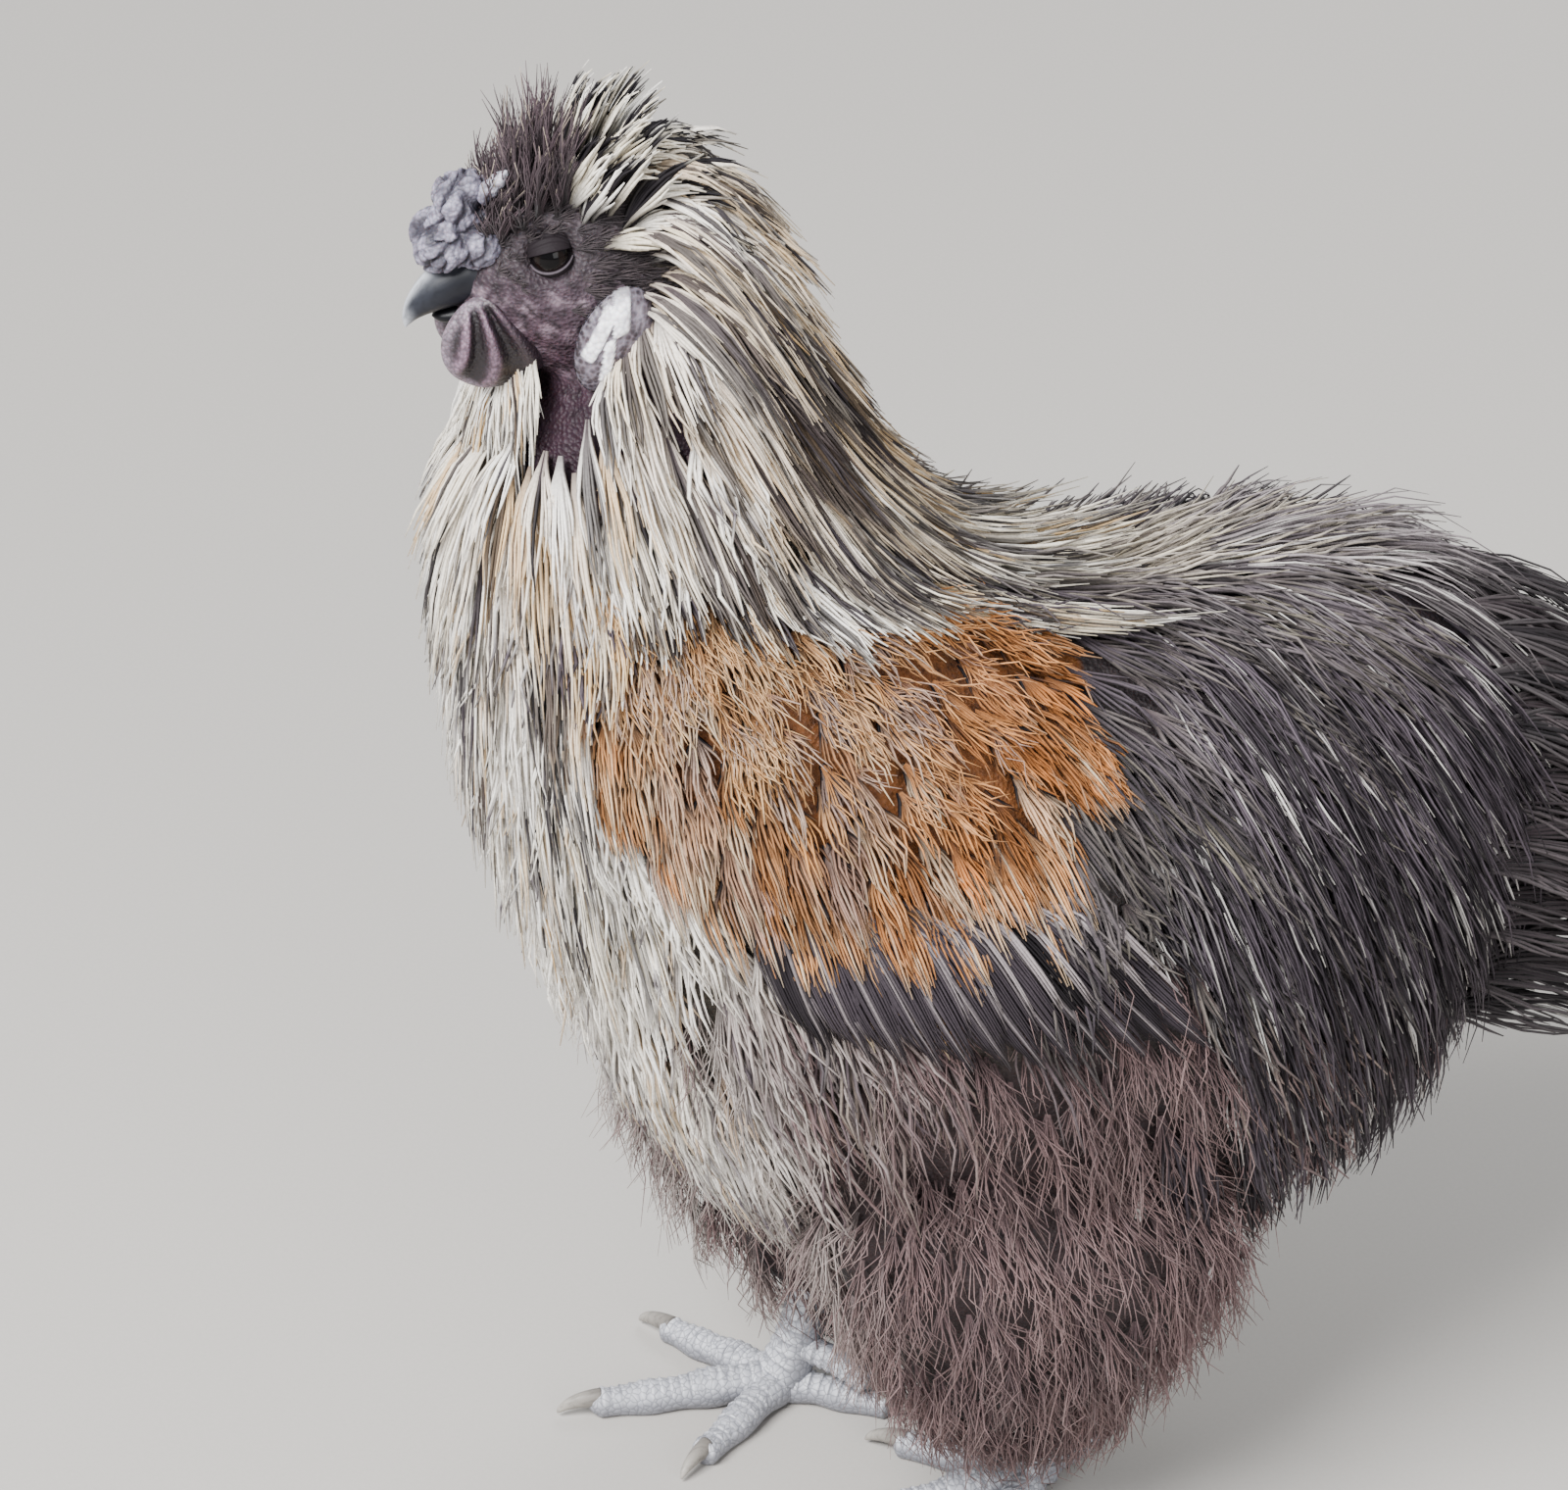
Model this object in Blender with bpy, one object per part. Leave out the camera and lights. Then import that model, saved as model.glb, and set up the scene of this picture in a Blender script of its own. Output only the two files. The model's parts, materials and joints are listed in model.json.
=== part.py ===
"""A silkie-cross cockerel, life size, standing with its right foot a step ahead.

The bird faces -Y, +Z is up and +X is its left side. The trunk, head and thighs are lofts through a few
named sections; locks and vanes are grown on them along the lie of the plumage and fused to their node.
"""

import math
import random

import bmesh
import bpy
import numpy as np
from mathutils import Matrix, Vector
from mathutils.bvhtree import BVHTree

MM = 0.001
GAP = 0.3 * MM  # air kept between one node and the next
FLAT = 0.6  # faces meeting within this many degrees are one flat face
MERGES = (0.004, 0.002, 0.008, 0.001, 0.015)  # distances tried, in millimetres, for merging points after a union
MOST = 0.9  # share of a node that its largest surface must hold
CLEAR = 0.45 * MM  # how far a lock stays from every other node

# Sections of a loft, in millimetres: back point (y, z), front or lower point (y, z), half width, centre x.
TRUNK = [
    (134, 156, 134, 156, 0, 0),
    (129, 188, 116, 118, 29, 0),
    (112, 211, 88, 80, 49, 0),
    (86, 220, 56, 61, 61, 0),
    (60, 222, 24, 55, 67, 0),
    (38, 223, -8, 58, 69, 0),
    (18, 227, -36, 76, 68, 0),
    (2, 236, -62, 108, 64, 0),
    (-10, 249, -81, 144, 57, 0),
    (-20, 265, -92, 179, 49, 0),
    (-27, 282, -98, 213, 42, 0),
    (-33, 299, -101, 242, 35, 0),
    (-39, 314, -99, 265, 26, 0),
    (-47, 328, -90, 283, 15, 0),
]
HEAD = [
    (-46, 306, -46, 306, 0, 0),
    (-50, 319, -50, 291, 9.5, 0),
    (-57, 326, -57, 284, 13.5, 0),
    (-65, 330, -65, 281, 15.5, 0),
    (-74, 331.5, -74, 282, 16, 0),
    (-82, 330, -82, 286, 15, 0),
    (-89, 326, -89, 291, 12.6, 0),
    (-95, 320, -95, 295, 9.4, 0),
    (-99, 314, -99, 298, 6.4, 0),
    (-101.5, 306, -101.5, 306, 0, 0),
]
THIGH = [
    (30, 122, -34, 122, 14, 34),
    (48, 102, -44, 106, 24, 38),
    (52, 82, -45, 86, 29, 40),
    (46, 62, -38, 66, 27, 38),
    (35, 42, -27, 46, 22, 34),
    (23, 25, -15, 29, 15, 30),
    (6, 18, 4, 18, 0, 28),
]
STRIDE = 22  # each foot stands this far behind or ahead of the middle, in millimetres
THIGH_SHIFT = {1: 9, -1: -14}  # and each thigh this far, left and right
# Where one node ends and the next starts: the cut's back and front ends, (y, z) in millimetres.
NECK_CUT = ((-6, 250), (-106, 212))
RUMP_CUT = ((38, 220), (-4, 54))
TAIL_CUT = ((104, 208), (92, 74))

EYE_AT = Vector((10.2, -83, 317.5)) * MM
EYE_RADIUS = 5.6 * MM
EYE_LOOK = Vector((0.95, -0.30, 0.06)).normalized()
SHOULDER, WING_TIP = (-84, 228), (28, 172)  # ends of the folded wing's middle line, (y, z) in millimetres
WING_HALF_HEIGHT, WING_THICKNESS = 40, 11


def spline(values, at):
    """Smooth curve through evenly numbered values (Catmull-Rom), read at the numbers in at."""
    values = np.asarray(values, float)
    last = len(values) - 1
    at = np.clip(at, 0, last)
    i = np.minimum(at.astype(int), last - 1)
    t = (at - i)[..., None]
    p0, p1 = values[np.maximum(i - 1, 0)], values[i]
    p2, p3 = values[i + 1], values[np.minimum(i + 2, last)]
    return 0.5 * (2 * p1 + (p2 - p0) * t + (2 * p0 - 5 * p1 + 4 * p2 - p3) * t**2
                  + (3 * p1 - p0 - 3 * p2 + p3) * t**3)


class Loft:
    """A surface through oval sections. u goes round from the back (0) over the left side (0.25); v counts sections."""

    def __init__(self, sections, side=1, shift_y=0.0, swell=None):
        table = np.array(sections, float) * MM
        table[:, 5] *= side
        table[:, [0, 2]] += shift_y * MM
        self.table, self.last, self.swell = table, len(sections) - 1, swell

    def plain(self, u, v):
        s = spline(self.table, np.asarray(v, float))
        angle = 2 * math.pi * np.asarray(u, float)
        middle, reach = (s[..., 0:2] + s[..., 2:4]) / 2, (s[..., 0:2] - s[..., 2:4]) / 2
        yz = middle + reach * np.cos(angle)[..., None]
        x = s[..., 5] + np.maximum(s[..., 4], 0) * np.sin(angle)
        return np.concatenate([x[..., None], yz], axis=-1)

    def slopes(self, u, v, step=1e-3):
        """Change of place with u and with v."""
        lo, hi = np.maximum(v - step * 10, 0.0), np.minimum(v + step * 10, self.last)
        along_u = (self.plain(u + step, v) - self.plain(u - step, v)) / (2 * step)
        along_v = (self.plain(u, hi) - self.plain(u, lo)) / (hi - lo)[..., None]
        return along_u, along_v

    def frame(self, u, v):
        """Place, outward normal and both slopes."""
        u, v = np.asarray(u, float), np.asarray(v, float)
        v = np.clip(v, 0.02, self.last - 0.02)
        along_u, along_v = self.slopes(u, v)
        place = self.plain(u, v)
        normal = np.cross(along_u, along_v)
        normal /= np.maximum(np.linalg.norm(normal, axis=-1, keepdims=True), 1e-12)
        s = spline(self.table, v)
        middle = np.concatenate([s[..., 5:6], (s[..., 0:2] + s[..., 2:4]) / 2], axis=-1)
        normal *= np.where(((place - middle) * normal).sum(-1) < 0, -1.0, 1.0)[..., None]
        if self.swell is not None:
            place = place + normal * self.swell(place)[..., None]
        return place, normal, along_u, along_v

    def mesh(self, around, along, offset=0.0):
        """Points and faces of the closed surface, moved outwards by offset."""
        v = np.linspace(0, self.last, along)
        u = np.arange(around) / around
        grid_u, grid_v = np.meshgrid(u, v)
        points = self.plain(grid_u, grid_v)
        if offset:
            points = points + self.frame(grid_u, grid_v)[1] * offset
        points = points.reshape(-1, 3).tolist()
        faces = []
        for row in range(along - 1):
            for k in range(around):
                a, b = row * around + k, row * around + (k + 1) % around
                faces.append((a, b, b + around, a + around))
        faces.append(tuple(range(around))[::-1])
        faces.append(tuple(range(around * (along - 1), around * along)))
        return points, faces


def wing_place(place):
    """(a, b) of a point on the flank: a from the shoulder (0) to the tip (1), b across the wing, -1 to 1."""
    start, end = np.array(SHOULDER) * MM, np.array(WING_TIP) * MM
    axis = end - start
    length = np.linalg.norm(axis)
    axis = axis / length
    away = place[..., 1:3] - start
    along = away @ axis
    across = away @ np.array([-axis[1], axis[0]])
    return along / length, across / (WING_HALF_HEIGHT * MM)


def wing_swell(place):
    """Thickness of the folded wing over the flank: an oval lens, nought outside it."""
    a, b = wing_place(place)
    lens = np.clip(1 - (2 * a - 1) ** 2 - b**2, 0, 1)
    return WING_THICKNESS * MM * np.sqrt(lens) * (np.abs(place[..., 0]) > 20 * MM)


trunk = Loft(TRUNK)
winged = Loft(TRUNK, swell=wing_swell)
head = Loft(HEAD)


def new_object(name, points, faces):
    """A closed object in the bird's collection from points and faces."""
    mesh = bpy.data.meshes.new(name)
    mesh.from_pydata([tuple(p) for p in points], [], faces)
    bm = bmesh.new()
    bm.from_mesh(mesh)
    bmesh.ops.remove_doubles(bm, verts=bm.verts, dist=0.01 * MM)
    bmesh.ops.dissolve_degenerate(bm, edges=bm.edges, dist=0.005 * MM)
    bmesh.ops.triangulate(bm, faces=bm.faces)
    bmesh.ops.recalc_face_normals(bm, faces=bm.faces)
    bm.to_mesh(mesh)
    bm.free()
    obj = bpy.data.objects.new(name, mesh)
    bird.objects.link(obj)
    return obj


def ball(name, centre, radii, segments=16, rings=10, turn=None, shape=None):
    """A sphere drawn out to three radii, turned, with its points passed through shape first."""
    bm = bmesh.new()
    bmesh.ops.create_uvsphere(bm, u_segments=segments, v_segments=rings, radius=1.0)
    points = [Vector(shape(v.co)) if shape else v.co.copy() for v in bm.verts]
    turn = turn or Matrix.Identity(3)
    for vertex, point in zip(bm.verts, points):
        vertex.co = Vector(centre) + turn @ Vector(p * r for p, r in zip(point, radii))
    bmesh.ops.triangulate(bm, faces=bm.faces)
    mesh = bpy.data.meshes.new(name)
    bm.to_mesh(mesh)
    bm.free()
    obj = bpy.data.objects.new(name, mesh)
    bird.objects.link(obj)
    return obj


def surfaces_of(bm):
    """The separate closed surfaces of a mesh, the largest first."""
    unseen, groups = set(bm.faces), []
    while unseen:
        stack, group = [unseen.pop()], []
        while stack:
            face = stack.pop()
            group.append(face)
            for other in (f for edge in face.edges if len(edge.link_faces) == 2 for f in edge.link_faces):
                if other in unseen:
                    unseen.remove(other)
                    stack.append(other)
        groups.append(group)
    return sorted(groups, key=lambda group: sum(face.calc_area() for face in group), reverse=True)


def keep_largest(obj):
    """Leaves a node's largest closed surface, with near points merged and flat stretches in few faces."""
    for merge in MERGES:
        bm = bmesh.new()
        bm.from_mesh(obj.data)
        bmesh.ops.remove_doubles(bm, verts=bm.verts, dist=merge * MM)
        bmesh.ops.dissolve_limit(bm, angle_limit=math.radians(FLAT), verts=bm.verts, edges=bm.edges)
        bmesh.ops.triangulate(bm, faces=bm.faces)
        groups = surfaces_of(bm)
        whole = sum(face.calc_area() for face in bm.faces)
        kept = sum(face.calc_area() for face in groups[0]) / whole
        bmesh.ops.delete(bm, geom=[face for group in groups[1:] for face in group], context="FACES")
        bmesh.ops.delete(bm, geom=[v for v in bm.verts if not v.link_faces], context="VERTS")
        sound = kept > MOST and all(len(edge.link_faces) == 2 and edge.is_contiguous for edge in bm.edges)
        if sound:
            bm.to_mesh(obj.data)
            bm.free()
            return
        bm.free()
    print(obj.name, "could not be made one clean surface")


def boolean(obj, operation, others):
    """Joins others to obj or cuts them from it, applies that, and removes them."""
    group = bpy.data.collections.new("operands")
    bpy.context.scene.collection.children.link(group)
    for other in others:
        for home in list(other.users_collection):
            home.objects.unlink(other)
        group.objects.link(other)
    modifier = obj.modifiers.new("joined", "BOOLEAN")
    modifier.operation = operation
    modifier.operand_type = "COLLECTION"
    modifier.collection = group
    modifier.solver = "MANIFOLD"
    evaluated = obj.evaluated_get(bpy.context.evaluated_depsgraph_get())
    mesh = bpy.data.meshes.new_from_object(evaluated)
    obj.modifiers.clear()
    obj.data = mesh
    for other in list(group.objects):
        bpy.data.objects.remove(other)
    bpy.data.collections.remove(group)
    keep_largest(obj)
    return obj


def plane_cut(obj, point, normal):
    """Keeps what lies on the side that normal points to, and closes the cut."""
    bm = bmesh.new()
    bm.from_mesh(obj.data)
    cut = bmesh.ops.bisect_plane(bm, geom=bm.verts[:] + bm.edges[:] + bm.faces[:], dist=1e-7,
                                 plane_co=point, plane_no=normal, clear_inner=True)
    edges = [e for e in cut["geom_cut"] if isinstance(e, bmesh.types.BMEdge)]
    bmesh.ops.holes_fill(bm, edges=edges, sides=0)
    bmesh.ops.triangulate(bm, faces=bm.faces)
    bmesh.ops.recalc_face_normals(bm, faces=bm.faces)
    bm.to_mesh(obj.data)
    bm.free()
    return obj


def cut_plane(cut):
    """A point on a cut and its normal towards the head, from the cut's back and front ends."""
    back, front = (Vector((0, y, z)) * MM for y, z in cut)
    return (back + front) / 2, Vector((0, front.z - back.z, back.y - front.y)).normalized()


def trace(surface, u, v, lie, length, steps):
    """Paths over a surface from the roots (u, v), each step taken along lie(place, normal) laid on the surface."""
    u, v = np.array(u, float), np.array(v, float)
    places, normals = [], []
    for _ in range(steps + 1):
        place, normal, along_u, along_v = surface.frame(u, v)
        places.append(place)
        normals.append(normal)
        way = lie(place, normal, along_u, along_v)
        way = way - (way * normal).sum(-1, keepdims=True) * normal
        way /= np.maximum(np.linalg.norm(way, axis=-1, keepdims=True), 1e-9)
        way *= (length / steps)[:, None]
        e, f, g = (along_u**2).sum(-1), (along_u * along_v).sum(-1), (along_v**2).sum(-1)
        a, b = (way * along_u).sum(-1), (way * along_v).sum(-1)
        det = np.maximum(e * g - f * f, 1e-14)
        u = u + np.clip((a * g - b * f) / det, -0.12, 0.12)
        v = np.clip(v + np.clip((b * e - a * f) / det, -0.9, 0.9), 0.05, surface.last - 0.05)
    return np.stack(places, 1), np.stack(normals, 1)


def lock_points(path, normals, rise, width, thickness, belly=0.35):
    """A flat tapered lock of three sides, carried along a path that lifts off its surface from root to tip.

    path and normals are (n, 3); rise is the tip's height; width is widest at the share belly of the length.
    """
    n = len(path)
    s = np.linspace(0, 1, n)
    line = path + normals * (rise * s**1.15 - 1.6 * MM * (1 - s) ** 2)[:, None]
    ahead = np.gradient(line, axis=0)
    ahead /= np.linalg.norm(ahead, axis=1, keepdims=True)
    across = np.cross(ahead, normals)
    across /= np.linalg.norm(across, axis=1, keepdims=True)
    up = np.cross(across, ahead)
    half = width / 2 * np.where(s < belly, 0.62 + 0.38 * s / belly,
                                np.sqrt(np.clip(1 - ((s - belly) / (1 - belly)) ** 2, 0, 1)))
    deep = thickness * (1 - 0.45 * s)
    points = []
    for k in range(n - 1):
        points += [line[k] - across[k] * half[k], line[k] + up[k] * deep[k], line[k] + across[k] * half[k]]
    points.append(line[-1])
    faces = [(0, 1, 2)]
    for k in range(n - 2):
        for j in range(3):
            a, b = 3 * k + j, 3 * k + (j + 1) % 3
            faces += [(a, b + 3, b), (a, a + 3, b + 3)]
    last = 3 * (n - 2)
    for j in range(3):
        faces.append((last + j, len(points) - 1, last + (j + 1) % 3))
    return points, faces


def tree_of(points, faces):
    """A tree of triangles for finding where two surfaces cross."""
    return BVHTree.FromPolygons([tuple(p) for p in points], faces, epsilon=0.0)


def node_tree(obj):
    """The same for a finished object."""
    return tree_of([v.co for v in obj.data.vertices], [tuple(p.vertices) for p in obj.data.polygons])


class Coat:
    """Grows locks on a node's core. A lock that would meet another node is lifted, then shortened, then left out."""

    def __init__(self, name, core, others):
        self.name, self.core = name, core
        self.trees = [node_tree(o) for o in others]
        self.pieces, self.left_out = [], 0

    def clear(self, path, normals, rise, width, thickness, **form):
        """True where the lock, made fatter by the air it needs, crosses no other node."""
        fat = lock_points(path, normals, rise, width + 2 * CLEAR, thickness + 2 * CLEAR, **form)
        points = np.array(fat[0]) - np.repeat(normals, 3, axis=0)[: len(fat[0])] * CLEAR
        probe = tree_of(points, fat[1])
        return not any(probe.overlap(tree) for tree in self.trees)

    def add(self, path, normals, rise, width, thickness, lifts=(0, 3, 6, 9), **form):
        """Grows one lock in the first of its lengths and lifts that is clear, unless its path doubles back."""
        steps = np.diff(path, axis=0)
        reach = np.linalg.norm(steps, axis=1)
        turns = (steps[1:] * steps[:-1]).sum(1) / np.maximum(reach[1:] * reach[:-1], 1e-12)
        if reach.min() < 0.5 * reach.max() or turns.min() < 0.3:
            self.left_out += 1
            return
        for share in (1.0, 0.8, 0.62):
            short = resample(path, share)
            short_normals = resample(normals, share)
            for lift in lifts:
                tall = rise * share + lift * MM
                if self.clear(short, short_normals, tall, width, thickness, **form):
                    points, faces = lock_points(short, short_normals, tall, width, thickness, **form)
                    self.pieces.append(new_object(self.name + "_lock", points, faces))
                    return
        self.left_out += 1

    def fuse(self):
        """Joins the locks to the core, which becomes the node."""
        node = boolean(self.core, "UNION", self.pieces)
        node.name = self.name
        node.data.name = self.name
        print(self.name, "locks", len(self.pieces), "triangles", len(node.data.polygons), "left out", self.left_out)
        return node


def resample(path, share):
    """The first share of a path, with as many points."""
    n = len(path)
    at = np.linspace(0, (n - 1) * share, n)
    i = np.minimum(at.astype(int), n - 2)
    t = (at - i)[:, None]
    return path[i] * (1 - t) + path[i + 1] * t


for old in list(bpy.data.objects):
    bpy.data.objects.remove(old, do_unlink=True)
bird = bpy.data.collections.new("silkie_cockerel")
bpy.context.scene.collection.children.link(bird)


def rows_on(surface, first, last, rows, start, spacing, seed):
    """Roots in staggered rows round a loft, from section first to section last, spacing metres apart in a row."""
    draw = random.Random(seed)
    roots = []
    for r in range(rows):
        v = first + (last - first) * r / max(rows - 1, 1)
        ring = surface.plain(np.linspace(0, 1, 60), np.full(60, v))
        length = np.linalg.norm(np.diff(ring, axis=0), axis=1)
        reach = np.concatenate([[0], np.cumsum(length)])
        count = max(int(reach[-1] / spacing), 3)
        for k in range(count):
            at = (k + 0.5 * (r % 2) + start + draw.uniform(-0.12, 0.12)) / count * reach[-1]
            u = np.interp(at % reach[-1], reach, np.linspace(0, 1, 60))
            roots.append((u, v + draw.uniform(-0.06, 0.06), draw.uniform(0.88, 1.12)))
    return roots


def lie_towards(direction):
    """A lie from head to tail, pulled by a direction of space as strongly as that direction is long."""
    direction = np.array(direction, float)

    def lie(place, normal, along_u, along_v):
        way = -along_v / np.linalg.norm(along_v, axis=-1, keepdims=True)
        return way + direction

    return lie


def grow(coat, surface, roots, lie, length, width, thickness, rise, **form):
    """Adds one lock for each root, in order."""
    u = np.array([r[0] for r in roots])
    v = np.array([r[1] for r in roots])
    vary = np.array([r[2] for r in roots])
    paths, normals = trace(surface, u, v, lie, length * vary, STEPS)
    for path, normal, size in zip(paths, normals, vary):
        coat.add(path, normal, rise, width * size, thickness, **form)


STEPS = 3  # bends along a lock
TRUNK_MESH = (20, 23)  # points round each ring, and rings
HEAD_MESH = (18, 13)


def trunk_slab(name, behind, ahead):
    """The stretch of the trunk between two cuts, with half the gap taken off each."""
    points, faces = trunk.mesh(*TRUNK_MESH)
    obj = new_object(name, points, faces)
    if behind is not None:
        point, normal = cut_plane(behind)
        plane_cut(obj, point + normal * GAP / 2, normal)
    if ahead is not None:
        point, normal = cut_plane(ahead)
        plane_cut(obj, point - normal * GAP / 2, -normal)
    return obj


HEAD_CUT_AT = Vector((0, -73, 299)) * MM
HEAD_CUT_NORMAL = Vector((0, -0.69, 0.724)).normalized()


def wing_patch(name, side):
    """The folded wing without its feathers: an oval lens laid on the flank, its inner face a gap off the trunk."""
    rings, around = 5, 18
    u, v = np.meshgrid(np.linspace(0.02, 0.48, 240), np.linspace(2.0, 11.0, 300))
    flank = trunk.frame(u, v)[0]
    start, end = np.array(SHOULDER) * MM, np.array(WING_TIP) * MM
    axis = end - start
    normal_yz = np.array([-axis[1], axis[0]]) / np.linalg.norm(axis)

    def on_flank(a, b, height):
        yz = start + axis * a + normal_yz * b * WING_HALF_HEIGHT * MM
        near = ((flank[..., 1:3] - yz) ** 2).sum(-1)
        k = np.unravel_index(near.argmin(), near.shape)
        place, normal, _, _ = trunk.frame(u[k], v[k])
        place, normal = place * [side, 1, 1], normal * [side, 1, 1]
        return place + normal * height

    inner, outer = [], []
    for r in range(1, rings):
        share = math.sin(math.pi / 2 * r / (rings - 1))
        edge = r == rings - 1
        for k in range(around):
            angle = 2 * math.pi * k / around
            a, b = 0.5 + 0.5 * share * math.cos(angle), share * math.sin(angle)
            inner.append(on_flank(a, b, -1.5 * MM))
            thick = 1.2 * MM if edge else (1.2 + (WING_THICKNESS - 1.2) * math.sqrt(1 - share**2)) * MM
            outer.append(on_flank(a, b, GAP + thick))
    inner.append(on_flank(0.5, 0, -1.5 * MM))
    outer.append(on_flank(0.5, 0, GAP + WING_THICKNESS * MM))
    count = len(inner)
    faces = []
    for base in (0, count):
        centre = base + count - 1
        for k in range(around):
            n = (k + 1) % around
            faces.append((base + k, base + n, centre))
            for r in range(rings - 2):
                a, b = base + r * around + k, base + r * around + n
                faces.append((a, b, b + around, a + around))
    rim = (rings - 2) * around
    for k in range(around):
        n = (k + 1) % around
        faces.append((rim + k, rim + n, count + rim + n, count + rim + k))
    patch = new_object(name, inner + outer, faces)
    points, faces = trunk.mesh(*TRUNK_MESH, offset=GAP + 0.1 * MM)
    return boolean(patch, "DIFFERENCE", [new_object("cut", points, faces)])


def build_cores():
    """The bare forms of trunk and wings, parted by thin cuts."""
    tail = trunk_slab("tail", None, TAIL_CUT)
    rump = trunk_slab("rump", TAIL_CUT, RUMP_CUT)
    torso = trunk_slab("torso", RUMP_CUT, NECK_CUT)
    neck = trunk_slab("neck", NECK_CUT, None)
    plane_cut(neck, HEAD_CUT_AT - HEAD_CUT_NORMAL * GAP / 2, -HEAD_CUT_NORMAL)
    return tail, rump, torso, neck


def build_eye(side):
    """The eyeball, set well into its socket."""
    centre = Vector((EYE_AT.x * side, EYE_AT.y, EYE_AT.z))
    return ball("eye_left" if side > 0 else "eye_right", centre, [EYE_RADIUS] * 3, 12, 9)


def lid_ring(side):
    """The two lids as one flattened ring round the eye, the upper lid the heavier."""
    bm = bmesh.new()
    around, round_tube = 14, 4
    centre = Vector((EYE_AT.x * side, EYE_AT.y, EYE_AT.z))
    look = Vector((EYE_LOOK.x * side, EYE_LOOK.y, EYE_LOOK.z))
    fore = Vector((0, 0, 1)).cross(look).normalized()
    top = look.cross(fore)
    rings = []
    for k in range(around):
        angle = 2 * math.pi * k / around
        out = fore * math.cos(angle) * 6.2 * MM + top * math.sin(angle) * (4.6 if math.sin(angle) > 0 else 5.2) * MM
        tube = (1.9 if math.sin(angle) > 0 else 1.4) * MM
        hub = centre + look * 2.9 * MM + out
        ring = []
        for j in range(round_tube):
            turn = 2 * math.pi * j / round_tube
            ring.append(bm.verts.new(hub + out.normalized() * math.cos(turn) * tube + look * math.sin(turn) * tube))
        rings.append(ring)
    for k in range(around):
        here, there = rings[k], rings[(k + 1) % around]
        for j in range(round_tube):
            n = (j + 1) % round_tube
            bm.faces.new((here[j], there[j], there[n], here[n]))
    bmesh.ops.triangulate(bm, faces=bm.faces)
    bmesh.ops.recalc_face_normals(bm, faces=bm.faces)
    mesh = bpy.data.meshes.new("lid")
    bm.to_mesh(mesh)
    bm.free()
    obj = bpy.data.objects.new("lid", mesh)
    bird.objects.link(obj)
    return obj


def build_head():
    """Skull and face as one form: brow, cheek, lids and gape, cut clear of the eyes."""
    points, faces = head.mesh(*HEAD_MESH)
    shaped = []
    for p in points:
        x, y, z = (c / MM for c in p)
        side = 1 if x > 0 else -1
        reach = abs(x)
        brow = math.exp(-(((y + 84) / 8) ** 2 + ((z - 323.5) / 2.6) ** 2)) * min(reach / 8, 1)
        socket = math.exp(-(((y + 83) / 7) ** 2 + ((z - 316) / 5.5) ** 2)) * min(reach / 8, 1)
        cheek = math.exp(-(((y + 76) / 9) ** 2 + ((z - 303) / 6) ** 2)) * min(reach / 8, 1)
        x += side * (1.3 * brow - 1.5 * socket + 1.2 * cheek)
        shaped.append((x * MM, y * MM, z * MM))
    skull = new_object("head", shaped, faces)
    boolean(skull, "UNION", [lid_ring(1), lid_ring(-1)])
    cutters = []
    for side in (1, -1):
        centre = Vector((EYE_AT.x * side, EYE_AT.y, EYE_AT.z))
        cutters.append(ball("socket", centre, [EYE_RADIUS + GAP] * 3, 12, 9))
        gape = Vector((9.5 * side, -92, 305.2)) * MM
        slit = Matrix.Rotation(math.radians(12), 3, "X")
        cutters.append(ball("gape", gape, (4.5 * MM, 7 * MM, 0.55 * MM), 8, 4, slit))
    boolean(skull, "DIFFERENCE", cutters)
    plane_cut(skull, HEAD_CUT_AT + HEAD_CUT_NORMAL * GAP / 2, HEAD_CUT_NORMAL)
    keep_largest(skull)
    return skull


BILL_MESH = (10, 8)
# Sections of the bill, in millimetres: ridge (y, z), lower edge (y, z), half width, centre x.
UPPER_BILL = [
    (-95.5, 316, -95.5, 304.6, 6.4, 0),
    (-99, 315.6, -98, 304.3, 6.3, 0),
    (-103.5, 313.2, -101.5, 303.6, 5.2, 0),
    (-107.6, 309.6, -105, 302.8, 3.9, 0),
    (-110.4, 305.6, -108, 301.7, 2.3, 0),
    (-111.4, 301.9, -110, 300.3, 0.9, 0),
    (-110.9, 299.4, -110.9, 299.4, 0, 0),
]
LOWER_BILL = [
    (-95.5, 304.0, -95, 297.2, 5.4, 0),
    (-99, 303.4, -98, 297.0, 5.0, 0),
    (-103, 302.7, -102, 297.4, 3.9, 0),
    (-106.6, 301.6, -106, 298.2, 2.4, 0),
    (-108.4, 300.4, -108.4, 300.2, 0, 0),
]


def build_bill():
    """Upper and lower bill as two horny pieces set against the face, with a slit nostril each side."""
    pieces = []
    for name, sections in (("bill_upper", UPPER_BILL), ("bill_lower", LOWER_BILL)):
        shape = Loft(sections)
        points, faces = shape.mesh(*BILL_MESH)
        bill = new_object(name, points, faces)
        if name == "bill_upper":
            slots = [ball("nostril", Vector((5.3 * s, -100.5, 309.5)) * MM, (1.6 * MM, 2.2 * MM, 0.8 * MM), 8, 5)
                     for s in (1, -1)]
            boolean(bill, "DIFFERENCE", slots)
        pieces.append(bill)
    face_points, face_faces = head.mesh(*HEAD_MESH, offset=GAP)
    for bill in pieces:
        boolean(bill, "DIFFERENCE", [new_object("face_cutter", face_points, face_faces)])
    return pieces


COMB_AT = Vector((0, -99, 321)) * MM


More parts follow.
